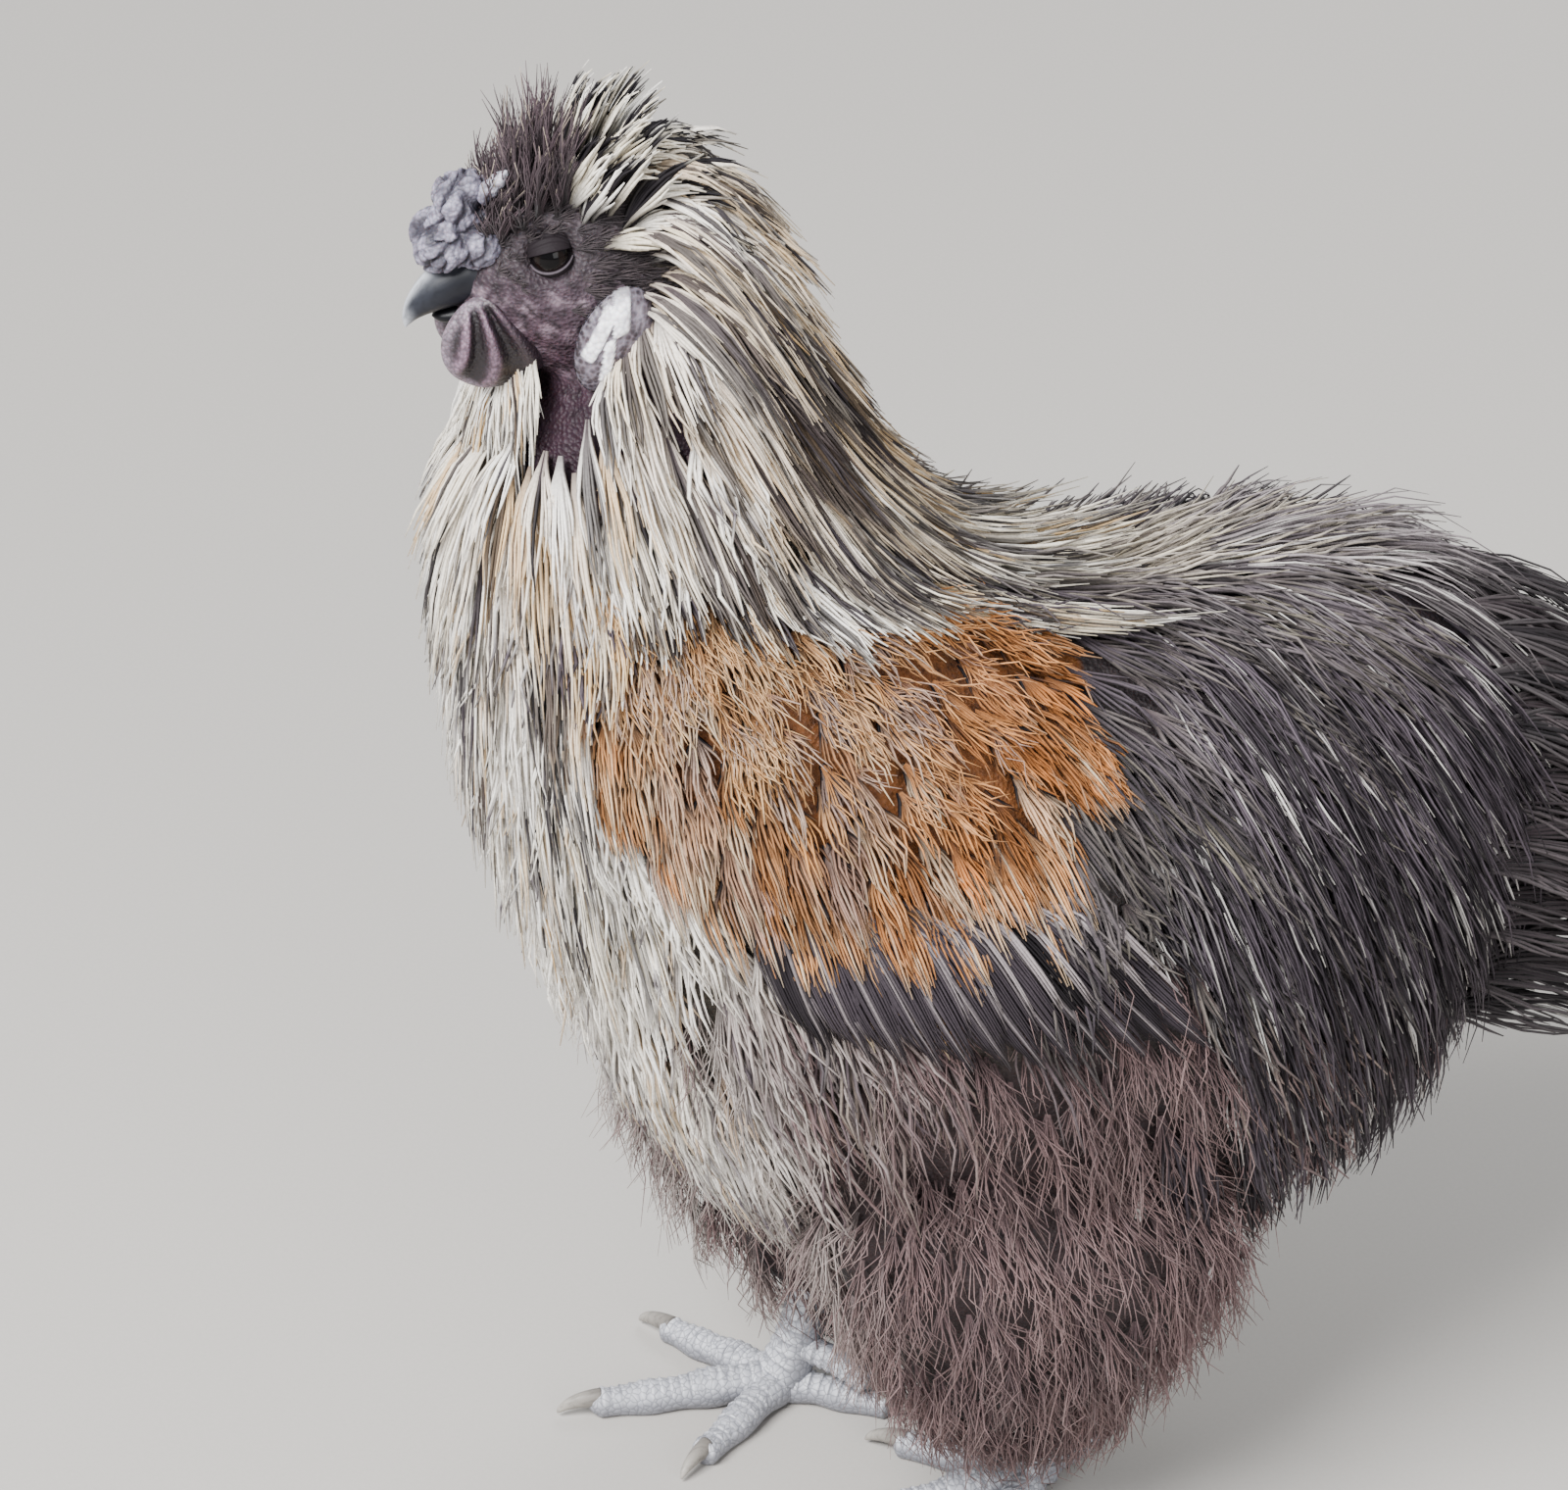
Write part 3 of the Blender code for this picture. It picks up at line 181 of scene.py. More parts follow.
# The coverts' outline on the wing: places along its middle line, and the lower and upper edge there.
PATCH_ALONG = (-0.03, 0.05, 0.20, 0.48, 0.66, 0.80, 0.86)
PATCH_LOW = (0.15, -0.31, -0.60, -0.81, -0.92, -0.48, 0.20)
PATCH_HIGH = (0.70, 0.85, 0.95, 1.12, 1.42, 1.25, 0.70)
EYE_RADIUS = 4.6 * MM
SIDES = {"left": 1, "right": -1}


def spline(values, at):
    """Smooth curve through evenly numbered values (Catmull-Rom), read at the numbers in at."""
    values = np.asarray(values, float)
    last = len(values) - 1
    at = np.clip(at, 0, last)
    i = np.minimum(at.astype(int), last - 1)
    t = (at - i)[..., None]
    p0, p1 = values[np.maximum(i - 1, 0)], values[i]
    p2, p3 = values[i + 1], values[np.minimum(i + 2, last)]
    return 0.5 * (2 * p1 + (p2 - p0) * t + (2 * p0 - 5 * p1 + 4 * p2 - p3) * t**2
                  + (3 * p1 - p0 - 3 * p2 + p3) * t**3)


def unit(vectors):
    """Each vector at length one."""
    return vectors / np.maximum(np.linalg.norm(vectors, axis=-1, keepdims=True), 1e-12)


def wing_place(place):
    """(a, b) of a point on the flank: a from the shoulder (0) to the tip (1), b across the wing, -1 to 1."""
    start, end = np.array(SHOULDER) * MM, np.array(WING_TIP) * MM
    length = np.linalg.norm(end - start)
    axis = (end - start) / length
    away = place[..., 1:3] - SHIFT[1:3] - start
    return away @ axis / length, away @ np.array([-axis[1], axis[0]]) / (WING_HALF_HEIGHT * MM)


def wing_swell(place):
    """Thickness of the folded wing over the flank: an oval lens, nought outside it."""
    a, b = wing_place(place)
    lens = np.clip(1 - (2 * a - 1) ** 2 - b**2, 0, 1)
    return WING_THICKNESS * MM * np.sqrt(lens) * (np.abs(place[..., 0]) > 20 * MM)


def on_wing(place, inset):
    """True inside the coverts' outline, drawn in by that share of the wing's half height."""
    a, b = wing_place(place)
    low, high = np.interp(a, PATCH_ALONG, PATCH_LOW), np.interp(a, PATCH_ALONG, PATCH_HIGH)
    across = (b > low + inset) & (b < high - inset)
    along = (a > PATCH_ALONG[0] + inset / 3) & (a < PATCH_ALONG[-1] - inset / 3)
    return across & along & (np.abs(place[..., 0]) > 25 * MM)


class Form:
    """A surface through oval sections: place = middle + reach x cos on the back-to-front line, half width
    x sin across it. u goes round from the back (0) over the left side (0.25), and v counts sections."""

    def __init__(self, sections, side=1, shift_y=0.0, swell=None):
        table = np.array(sections, float) * MM
        table[:, 5] *= side
        table[:, [0, 2]] += shift_y * MM + SHIFT[1]
        self.table, self.last, self.swell = table, len(sections) - 1, swell

    def plain(self, u, v):
        """Places on the form without its swelling."""
        s = spline(self.table, np.asarray(v, float))
        angle = 2 * math.pi * np.asarray(u, float)
        middle, reach = (s[..., 0:2] + s[..., 2:4]) / 2, (s[..., 0:2] - s[..., 2:4]) / 2
        yz = middle + reach * np.cos(angle)[..., None]
        x = s[..., 5] + np.maximum(s[..., 4], 0) * np.sin(angle)
        return np.concatenate([x[..., None], yz], axis=-1)

    def frame(self, u, v, step=1e-3):
        """Place, outward normal, and the change of place with u and with v."""
        u, v = np.asarray(u, float), np.clip(np.asarray(v, float), 0.02, self.last - 0.02)
        lo, hi = np.maximum(v - step * 10, 0.0), np.minimum(v + step * 10, self.last)
        along_u = (self.plain(u + step, v) - self.plain(u - step, v)) / (2 * step)
        along_v = (self.plain(u, hi) - self.plain(u, lo)) / (hi - lo)[..., None]
        place = self.plain(u, v)
        normal = unit(np.cross(along_u, along_v))
        s = spline(self.table, v)
        middle = np.concatenate([s[..., 5:6], (s[..., 0:2] + s[..., 2:4]) / 2], axis=-1)
        normal = normal * np.where(((place - middle) * normal).sum(-1) < 0, -1.0, 1.0)[..., None]
        if self.swell is not None:
            place = place + normal * self.swell(place)[..., None]
        return place, normal, along_u, along_v

    def shell(self, around, along, sink):
        """Points and four-sided faces of the closed form with its swelling, moved inwards by sink."""
        v = np.linspace(0, self.last, along)
        grid_u, grid_v = np.meshgrid(np.arange(around) / around, v)
        points = self.plain(grid_u, grid_v)
        lift = -sink if self.swell is None else self.swell(points) - sink
        points = points + self.frame(grid_u, grid_v)[1] * np.broadcast_to(lift, grid_u.shape)[..., None]
        points[0], points[-1] = points[0].mean(0), points[-1].mean(0)
        number = np.arange(around * along).reshape(along, around)
        beside = np.roll(number, -1, axis=1)
        faces = np.stack([number[:-1], beside[:-1], beside[1:], number[1:]], -1).reshape(-1, 4)
        return points.reshape(-1, 3), faces


def rumple(place, size, seed, layers=4):
    """Soft lumps about size across, from -1 to 1: the mean of products of sines in turned directions."""
    draw = np.random.default_rng(seed)
    total = np.zeros(place.shape[:-1])
    for _ in range(layers):
        axes = np.linalg.qr(draw.normal(size=(3, 3)))[0]
        turned = place @ axes * (math.pi / size) * draw.uniform(0.8, 1.25) + draw.uniform(0, 6.3, 3)
        total += np.sin(turned[..., 0]) * np.sin(turned[..., 1]) + 0.6 * np.sin(turned[..., 2] * 1.7)
    return total / (1.3 * layers)


def ease(low, high, value):
    """Goes smoothly from 0 at low to 1 at high."""
    t = np.clip((value - low) / (high - low), 0, 1)
    return t * t * (3 - 2 * t)


def blend(first, second, share):
    """Mixes two colours, or two arrays of them, by share."""
    return np.asarray(first) + (np.asarray(second) - np.asarray(first)) * np.asarray(share)[..., None]


def new_piece(name, points, faces, material, replaced=(), tone=None, patch=None):
    """Puts arrays into a mesh object on the bird: faces is a list of arrays of point numbers, tone is one
    colour a point, and patch is each point's place on the unwrap of the skin."""
    mesh = bpy.data.meshes.new(name)
    points = np.asarray(points, np.float32).reshape(-1, 3)
    corners = np.concatenate([f.ravel() for f in faces]).astype(np.int32)
    sizes = np.concatenate([np.full(len(f), f.shape[1]) for f in faces])
    mesh.vertices.add(len(points))
    mesh.vertices.foreach_set("co", points.ravel())
    mesh.loops.add(len(corners))
    mesh.loops.foreach_set("vertex_index", corners)
    mesh.polygons.add(len(sizes))
    starts = np.concatenate([[0], np.cumsum(sizes)[:-1]]).astype(np.int32)
    mesh.polygons.foreach_set("loop_start", starts)
    mesh.polygons.foreach_set("use_smooth", np.ones(len(sizes), bool))
    if tone is not None:
        rgba = np.concatenate([np.asarray(tone).reshape(-1, 3), np.ones((len(points), 1))], axis=1)
        layer = mesh.color_attributes.new("Tone", "FLOAT_COLOR", "POINT")
        layer.data.foreach_set("color", rgba.astype(np.float32).ravel())
    if patch is not None:
        unwrap = mesh.uv_layers.new(name="OFBake")
        unwrap.data.foreach_set("uv", np.asarray(patch, np.float32).reshape(-1, 2)[corners].ravel())
    mesh.update(calc_edges=True)
    mesh.materials.append(material)
    piece = bpy.data.objects.new(name, mesh)
    bpy.context.scene.collection.objects.link(piece)
    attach(piece, "root")
    if replaced:
        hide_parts(*replaced)
    return piece


# Shades of the plumage, laid on the skin beneath it and on the feathers themselves.
CREAM, WHITE, STRAW = linear("#e2d6bd"), linear("#f4f0ea"), linear("#c79f62")
SOOT, SLATE, ASH = linear("#1b181b"), linear("#50484f"), linear("#9a9192")
FLUFF, FLUFF_DARK = linear("#7d6564"), linear("#42363a")
TAN, BAY = linear("#ba8a58"), linear("#7a4a26")
MAUVE, MAUVE_DARK, LILAC = linear("#42343d"), linear("#1a1418"), linear("#86747f")


def body_yz(place):
    """y and z of places in millimetres, as the sections are written."""
    return (place[..., 1] - SHIFT[1]) / MM, place[..., 2] / MM


def down_line(place):
    """How far a place is below the line where the plumage gives way to down, in millimetres."""
    y, z = body_yz(place)
    return np.interp(y, (-75, -52, -36, -12, 20, 45, 75), (66, 84, 122, 146, 146, 128, 100)) - z


def ground_shade(place):
    """The plumage's main shade at a place: cream on the neck and breast, slate on the saddle, mauve below."""
    y, z = body_yz(place)
    shade = blend(CREAM, ASH, ease(-20, 30, y) * 0.8)
    shade = blend(shade, SLATE, ease(10, 50, y + 0.25 * (z - 200)))
    shade = blend(shade, linear("#a5673a"), on_wing(place, 0.1))
    return blend(shade, FLUFF, ease(-6, 8, down_line(place)))


def skin_shade(place):
    """Mauve bare skin on the head, and from the back of the face downwards the plumage's colour, darkened as
    painted shade beneath the feathers.
    """
    y, z = body_yz(place)
    bare = ease(-56, -64, y + 0.3 * (z - 300)) * ease(258, 270, z)
    face = blend(MAUVE, LILAC, ease(0.0, 0.5, rumple(place, 3.4 * MM, 3)) * 0.9)
    face = blend(face, linear("#4a323e"), ease(308, 296, z) * 0.5)
    face = blend(face, MAUVE_DARK, ease(-0.1, 0.4, rumple(place, 2.3 * MM, 4)) * 0.85)
    face = blend(face, linear("#24121d"), ease(293, 284, z) * 0.9)
    face = blend(face, linear("#332d30"), ease(309, 317, z) * 0.8)
    # Beneath the plumage the skin is painted dark, as shade under the feathers: less so under the rust
    # coverts, and drawn towards dark mauve elsewhere.
    under = ground_shade(place) * (0.2 + 0.35 * on_wing(place, 0.1))[..., None]
    under = blend(under, np.array(FLUFF_DARK) * 0.6, 0.5 * (1 - on_wing(place, 0.1)))
    return blend(under, face, bare)


trunk, winged, head = Form(TRUNK), Form(TRUNK, swell=wing_swell), Form(HEAD)
thighs = {side: Form(THIGH, side, THIGH_SHIFT[side]) for side in SIDES.values()}

shells = [winged.shell(96, 90, SKIN_DEPTH), head.shell(48, 40, 0.0)]
shells += [form.shell(40, 24, SKIN_DEPTH) for form in thighs.values()]
skin_points, skin_faces, count = [], [], 0
for points, faces in shells:
    skin_points.append(points)
    skin_faces.append(faces + count)
    count += len(points)
flesh = bpy.data.meshes.new("flesh")
flesh.from_pydata(np.concatenate(skin_points).tolist(), [], np.concatenate(skin_faces).tolist())
flesh_object = bpy.data.objects.new("flesh", flesh)
bpy.context.scene.collection.objects.link(flesh_object)
merge = flesh_object.modifiers.new("poles", "WELD")
merge.merge_threshold = 0.05 * MM
knit = flesh_object.modifiers.new("one_skin", "REMESH")
knit.mode, knit.voxel_size = "VOXEL", 1.5 * MM
relax = flesh_object.modifiers.new("smooth", "SMOOTH")
relax.factor, relax.iterations = 0.5, 8
knitted = bpy.data.meshes.new_from_object(flesh_object.evaluated_get(bpy.context.evaluated_depsgraph_get()))
bpy.data.objects.remove(flesh_object)

skin_at = np.empty(len(knitted.vertices) * 3, np.float32)
knitted.vertices.foreach_get("co", skin_at)
skin_at = skin_at.reshape(-1, 3).astype(float)
skin_out = np.empty(len(knitted.vertices) * 3, np.float32)
knitted.vertices.foreach_get("normal", skin_out)
skin_out = skin_out.reshape(-1, 3).astype(float)
skin_quads = np.empty(len(knitted.loops), np.int32)
knitted.loops.foreach_get("vertex_index", skin_quads)
assert len(skin_quads) == 4 * len(knitted.polygons)

# The eye sits in a shallow socket, and creases run round it and down the cheek.
EYES = {side: np.array([10.2 * side, -83, 317.5]) * MM + SHIFT for side in SIDES.values()}
LOOKS = {side: unit(np.array([0.95 * side, -0.30, 0.06])) for side in SIDES.values()}
relief = 0.6 * MM * rumple(skin_at, 4.5 * MM, 1) + 0.55 * MM * rumple(skin_at, 2.4 * MM, 2)
for side, eye_at in EYES.items():
    away = skin_at - eye_at
    ahead_of_eye = (away @ LOOKS[side])[:, None]
    ring = np.linalg.norm(away - ahead_of_eye * LOOKS[side], axis=1) / MM
    on_side = ahead_of_eye[:, 0] > 0
    relief += on_side * (0.35 * MM * np.cos((ring - 6.8) * 2.6) * ease(11, 7.5, ring) * ease(4.5, 6.5, ring))
    relief -= on_side * 2.6 * MM * ease(6.2, 4.0, ring)
skin_y, skin_z = body_yz(skin_at)
on_face = ease(-56, -64, skin_y) * ease(262, 276, skin_z)
skin_at += skin_out * (relief * on_face)[:, None]


def darkened(tree, tone, pattern, low, high, share, dark):
    """A tone that turns dark, by up to share, as a pattern goes from low to high."""
    level = put(tree, "MapRange", {0: pattern, 1: low, 2: high, 3: 0.0, 4: share})
    mix = put(tree, "Mix", {0: level.outputs[0], 6: tone, 7: (*dark, 1)}, data_type="RGBA")
    return mix.outputs[2]


def wire(tree, shader, colour, height, strength, depth):
    """Links the shader's colour, and a bump of that strength and depth in metres."""
    tree.links.new(colour, shader.inputs["Base Color"])
    bump = put(tree, "Bump", {"Height": height, "Strength": strength, "Distance": depth})
    tree.links.new(bump.outputs[0], shader.inputs["Normal"])


# Bare facial skin: soft, mauve, finely pebbled, with a slight damp sheen where it is stretched.
bare_skin, bare_tree, bare_shader = new_finish("bare_mauve_skin", 0.58, {
    "Specular IOR Level": 0.25, "Subsurface Weight": 0.08, "Subsurface Scale": 0.002})
bare_tone = put(bare_tree, "Attribute", attribute_name="Tone")
bare_object = put(bare_tree, "TexCoord").outputs["Object"]
pebbles = put(bare_tree, "TexVoronoi", {"Vector": bare_object, "Scale": 1100.0})  # pebbles 0.9 mm across
mottle = put(bare_tree, "TexNoise", {"Vector": bare_object, "Scale": 420.0, "Detail": 5.0})
bare_shade = darkened(bare_tree, bare_tone.outputs[0], mottle.outputs[0], 0.45, 0.75, 0.7, MAUVE_DARK)
wire(bare_tree, bare_shader, bare_shade, pebbles.outputs[0], 0.8, 0.0005)

new_piece("skin", skin_at, [skin_quads.reshape(-1, 4)], bare_skin,
          ("head", "neck", "torso", "rump", "thigh_left", "thigh_right"),
          skin_shade(skin_at))
bpy.data.meshes.remove(knitted)


# Eyes
# Each eye is a moist dark ball set deep in the face, almost black, with a brown rim round the pupil. An upper
# and a lower lid of thin grey skin close over it and leave a narrow opening that slants down to the beak.
EYE_TURN = math.radians(-14)  # the opening slants down towards the beak
UPPER_LID = (0.38, 1.5)  # radians above the middle line: edge and base of the lid
LOWER_LID = (-0.60, -1.5)


def eye_axes(side):
    """The eye's own axes: along the opening towards the beak, upwards, and outwards where it looks."""
    out = LOOKS[side]
    forward = unit(np.array([0, -1, 0]) - out * (out @ np.array([0, -1, 0])))
    upward = np.cross(out, forward) * -side
    upward = upward * np.sign(upward[2])
    forward, upward = (forward * math.cos(EYE_TURN) + upward * math.sin(EYE_TURN),
                       upward * math.cos(EYE_TURN) - forward * math.sin(EYE_TURN))
    return forward, upward, out


def hump(*shares):
    """A soft hump, exp(-(a^2 + b^2 + ...)): 1 where all the shares a, b ... are nought."""
    return np.exp(-sum(share**2 for share in shares))


def grid_faces(rows, columns, closed=False):
    """Four-sided faces between neighbouring points of a grid, closed round each row or not."""
    number = np.arange(rows * columns).reshape(rows, columns)
    if closed:
        number = np.concatenate([number, number[:, :1]], axis=1)
    return np.stack([number[:-1, :-1], number[:-1, 1:], number[1:, 1:], number[1:, :-1]], -1).reshape(-1, 4)


def outward(points, faces, centre):
    """Turns the faces round where they point towards the centre."""
    corners = points.reshape(-1, 3)[faces[:, :3]]
    facing = np.cross(corners[:, 1] - corners[:, 0], corners[:, 2] - corners[:, 0])
    inward = ((corners.mean(1) - centre) * facing).sum() < 0
    return faces[:, ::-1] if inward else faces


# Moist eyeball: near black, glossy under a clear tear film.
eyeball, eye_tree, eye_shader = new_finish("moist_eyeball", 0.10, {"IOR": 1.25})
eye_tone = put(eye_tree, "Attribute", attribute_name="Tone")
eye_tree.links.new(eye_tone.outputs[0], eye_shader.inputs["Base Color"])
PUPIL, IRIS, EYE_RIM = linear("#050405"), linear("#120b09"), linear("#080607")

# Eyelid: thin grey skin with fine folds that run along its edge, and a pale worn rim.
lid_skin, lid_tree, lid_shader = new_finish("thin_eyelid_skin", 0.7, {"Specular IOR Level": 0.15})
lid_tone = put(lid_tree, "Attribute", attribute_name="Tone")
lid_grain = put(lid_tree, "TexNoise", {"Scale": 1500.0, "Detail": 3.0,
                "Vector": put(lid_tree, "TexCoord").outputs["Object"]})
lid_shade = darkened(lid_tree, lid_tone.outputs[0], lid_grain.outputs[0], 0.5, 0.8, 0.6, MAUVE_DARK)
wire(lid_tree, lid_shader, lid_shade, lid_grain.outputs[0], 0.4, 0.0002)
LID_GREY, LID_PALE = linear("#1f1a1d"), linear("#4a4349")

for side_name, side in SIDES.items():
    forward, upward, out = eye_axes(side)
    # The ball: place = centre + radius x direction, with the clear front bulging by a thirtieth.
    polar, turned = np.meshgrid(np.linspace(0.0, math.pi, 40),
                                np.linspace(0, 2 * math.pi, 56, endpoint=False), indexing="ij")
    way = (np.cos(polar)[..., None] * out + np.sin(polar)[..., None]
           * (np.cos(turned)[..., None] * forward + np.sin(turned)[..., None] * upward))
    bulge = 1 + 0.035 * ease(0.75, 0.2, polar)
    ball = EYES[side] + way * (EYE_RADIUS * 0.985 * bulge)[..., None]
    iris = blend(PUPIL, IRIS, ease(0.42, 0.50, polar))
    iris = blend(iris, EYE_RIM, ease(0.70, 0.80, polar))
    faces = outward(ball, grid_faces(40, 56, closed=True), EYES[side])
    new_piece("eyeball_" + side_name, ball, [faces], eyeball,
              ("eye_" + side_name,), iris)
    for lid, (edge, base) in {"upper": UPPER_LID, "lower": LOWER_LID}.items():
        # A lid: a strip of a slightly larger ball between two turns about the line through both corners of
        # the eye. Its thickness swells at the rim, and folds run along it.
        t, e = np.meshgrid(np.linspace(-1.2, 1.2, 40), np.linspace(0, 1, 22), indexing="ij")
        lift = edge + (base - edge) * e
        way = (np.sin(t)[..., None] * forward
               + np.cos(t)[..., None] * (np.cos(lift)[..., None] * out + np.sin(lift)[..., None] * upward))
        rim = hump(e / 0.09)
        thick = 0.30 + 0.25 * rim + 0.14 * np.sin(e * 26 + 0.8 * np.sin(t * 3)) * ease(0.1, 0.3, e)
        outer = EYES[side] + way * (EYE_RADIUS + thick * MM * np.cos(t * 0.9))[..., None]
        inner = EYES[side] + way * (EYE_RADIUS - 0.05 * MM)
        inner = inner - way * 0.9 * MM * e[..., None]
        sheet = np.concatenate([outer, inner[:, ::-1]], axis=1)
        faces = grid_faces(40, 44, closed=True)
        ends = np.stack([np.arange(44)[::-1], np.arange(44) + 39 * 44])
        corners = sheet.reshape(-1, 3)[faces[:, :3]]
        facing = np.cross(corners[:, 1] - corners[:, 0], corners[:, 2] - corners[:, 0])
        if (facing[: 21] @ out).sum() < 0:
            faces, ends = faces[:, ::-1], ends[:, ::-1]
        rim_shade = LID_PALE if lid == "lower" else MAUVE_DARK
        shade = blend(blend(linear("#1d181b"), LID_GREY, np.concatenate([e, e[:, ::-1]], axis=1)), rim_shade,
                      np.concatenate([rim, rim[:, ::-1]], axis=1))
        new_piece(f"eyelid_{lid}_{side_name}", sheet, [faces, ends], lid_skin, (), shade)


# Beak
# The upper and lower bill are sheaths of smooth bluish horn over bone, short and strongly hooked, worn
# pale along the ridge and at the tip. The nostrils open under the comb's edge.
UPPER_BILL = [
    (-92, 317.5, -92, 304.8, 5.0, 0),
    (-95.5, 316, -95.5, 304.6, 6.4, 0),
    (-99, 315.6, -98, 304.3, 6.3, 0),
    (-103.5, 313.2, -101.5, 303.6, 5.2, 0),
    (-107.6, 309.6, -105, 302.8, 3.9, 0),
    (-110.4, 305.6, -108, 301.7, 2.3, 0),
    (-111.4, 301.9, -110, 300.3, 0.9, 0),
    (-110.9, 299.4, -110.9, 299.4, 0, 0),
]
LOWER_BILL = [
    (-92, 305.5, -92, 299.2, 4.4, 0),
    (-95.5, 305.3, -95, 299.2, 5.0, 0),
    (-99, 304.6, -98, 299.5, 4.4, 0),
    (-102, 303.6, -101.4, 299.8, 3.2, 0),
    (-104.4, 302.6, -104, 300.3, 1.9, 0),
    (-105.4, 301.4, -105.4, 301.4, 0, 0),
]
HORN_GREY, HORN_PALE, HORN_DARK = linear("#282a31"), linear("#bfc2c9"), linear("#101014")

# Beak horn: dense keratin in fine lengthwise layers, polished by wear.
beak_horn, horn_tree, horn_shader = new_finish("polished_beak_horn", 0.40, {"IOR": 1.30})
horn_tone = put(horn_tree, "Attribute", attribute_name="Tone")
horn_object = put(horn_tree, "TexCoord").outputs["Object"]
horn_stretch = put(horn_tree, "Mapping", {"Vector": horn_object, "Scale": (1500.0, 260.0, 700.0)})
horn_grain = put(horn_tree, "TexNoise", {"Vector": horn_stretch.outputs[0], "Scale": 1.0, "Detail": 3.0})
horn_shade = darkened(horn_tree, horn_tone.outputs[0], horn_grain.outputs[0], 0.45, 0.8, 0.5, HORN_DARK)
wire(horn_tree, horn_shader, horn_shade, horn_grain.outputs[0], 0.15, 0.0002)

for bill, sections in {"bill_upper": UPPER_BILL, "bill_lower": LOWER_BILL}.items():
    form = Form(sections)
    v = form.last * (1 - (1 - np.linspace(0, 1, 46)) ** 1.3)
    grid_u, grid_v = np.meshgrid(np.arange(56) / 56, v)
    points = form.plain(grid_u, grid_v)
    away = np.abs(np.where(grid_u > 0.5, grid_u - 1, grid_u))
    if bill == "bill_upper":
        # The ridge is pinched up, and the cutting edge stands slightly over the lower bill.
        points[..., 2] += 0.5 * MM * hump(away / 0.05) * ease(0.5, 3.0, grid_v)
        shade = blend(HORN_GREY, HORN_PALE, hump(away / 0.06) * 0.8)
        flank = hump((away - 0.24) / 0.10, (grid_v - 2.4) / 1.9)
        shade = blend(shade, HORN_DARK, flank * 0.8)
        shade = blend(shade, HORN_PALE, ease(4.8, 6.6, grid_v) * 0.9)
        shade = blend(shade, HORN_DARK, ease(0.33, 0.42, away) * ease(6.0, 4.5, grid_v) * 0.9)
    else:
        shade = blend(HORN_DARK, HORN_GREY, ease(0.2, 0.5, away) * 0.5)
    faces = outward(points, grid_faces(46, 56, closed=True), points.reshape(-1, 3).mean(0))
    ends = np.stack([np.arange(56), np.arange(56)[::-1] + 45 * 56])
    centre = points.reshape(-1, 3).mean(0)
    ends = np.concatenate([outward(points, ends[:1], centre), outward(points, ends[1:], centre)])
    new_piece(bill, points, [faces, ends], beak_horn, (bill,), shade)


# Comb, wattles and earlobes
# All are thick bare flesh, rough with small grains. The comb is a walnut-like cushion of lobes and creases
# over the beak's base with one small spur behind, the wattles hang in upright folds, and each lobe is oval.
COMB_AT = np.array([0, -99, 321]) * MM + SHIFT
COMB_LOBES = [  # x, y, z from the comb's middle and radius, in millimetres
    (0, 0.4, 0, 6.8), (3.6, -4.4, -2.6, 4.9), (-3.6, -4.4, -2.6, 4.9), (4.2, 2.4, -2.6, 4.8),
    (-4.2, 2.4, -2.6, 4.8), (2.0, -1.0, 6.0, 4.3), (-2.2, -0.6, 5.8, 4.3), (0.8, 1.4, 8.2, 3.9),
    (0.4, -5.4, -5.0, 4.0),
]
COMB_PALE, COMB_GREY, COMB_DARK = linear("#a19cb0"), linear("#7d788a"), linear("#221e28")


def lobed(ways, lobes, soft):
    """Reach of a bunch of balls from their middle in each direction, softly joined: the soft maximum of the
    far crossing of each ball with the line. soft is the width of the join."""
    centres, radii = np.array(lobes)[:, :3], np.array(lobes)[:, 3]
    along = ways @ centres.T
    inside = radii**2 - (centres**2).sum(1) + along**2
    reach = along + np.sqrt(np.maximum(inside, 0.0)) - 50.0 * (inside < 0)
    top = reach.max(-1, keepdims=True)
    return top[..., 0] + soft * np.log(np.exp((reach - top) / soft).sum(-1))


def ball_ways(rings, around):
    """Directions over a whole ball, from the top down."""
    polar, turned = np.meshgrid(np.linspace(0, math.pi, rings), np.arange(around) / around * 2 * math.pi,
                                indexing="ij")
    return np.stack([np.sin(polar) * np.cos(turned), np.sin(polar) * np.sin(turned), np.cos(polar)], axis=-1)


# Comb and wattle flesh: granular, dry, lavender to dark mauve, with a little light passing through it.
def flesh_finish(name, roughness, grain, dark):
    """Fleshy skin with grains of that size in metres, and the given colour between them."""
    material, tree, shader = new_finish(name, roughness, {
        "Subsurface Weight": 0.10, "Subsurface Scale": 0.002})
    tone = put(tree, "Attribute", attribute_name="Tone")
    spot = put(tree, "TexCoord").outputs["Object"]
    grains = put(tree, "TexVoronoi", {"Vector": spot, "Scale": 1 / grain})
    cloud = put(tree, "TexNoise", {"Vector": spot, "Scale": 0.35 / grain, "Detail": 4.0})
    shade = darkened(tree, tone.outputs[0], grains.outputs[0], 0.35, 0.8, 0.55, dark)
    shade = darkened(tree, shade, cloud.outputs[0], 0.5, 0.75, 0.45, dark)
    invert = put(tree, "Math", {0: 1.0, 1: grains.outputs[0]}, operation="SUBTRACT")
    wire(tree, shader, shade, invert.outputs[0], 0.6, 0.0004)
    return material


comb_flesh = flesh_finish("granular_comb_flesh", 0.6, 0.0009, COMB_DARK)
ways = ball_ways(110, 150)
reach = lobed(ways, COMB_LOBES, 0.7)
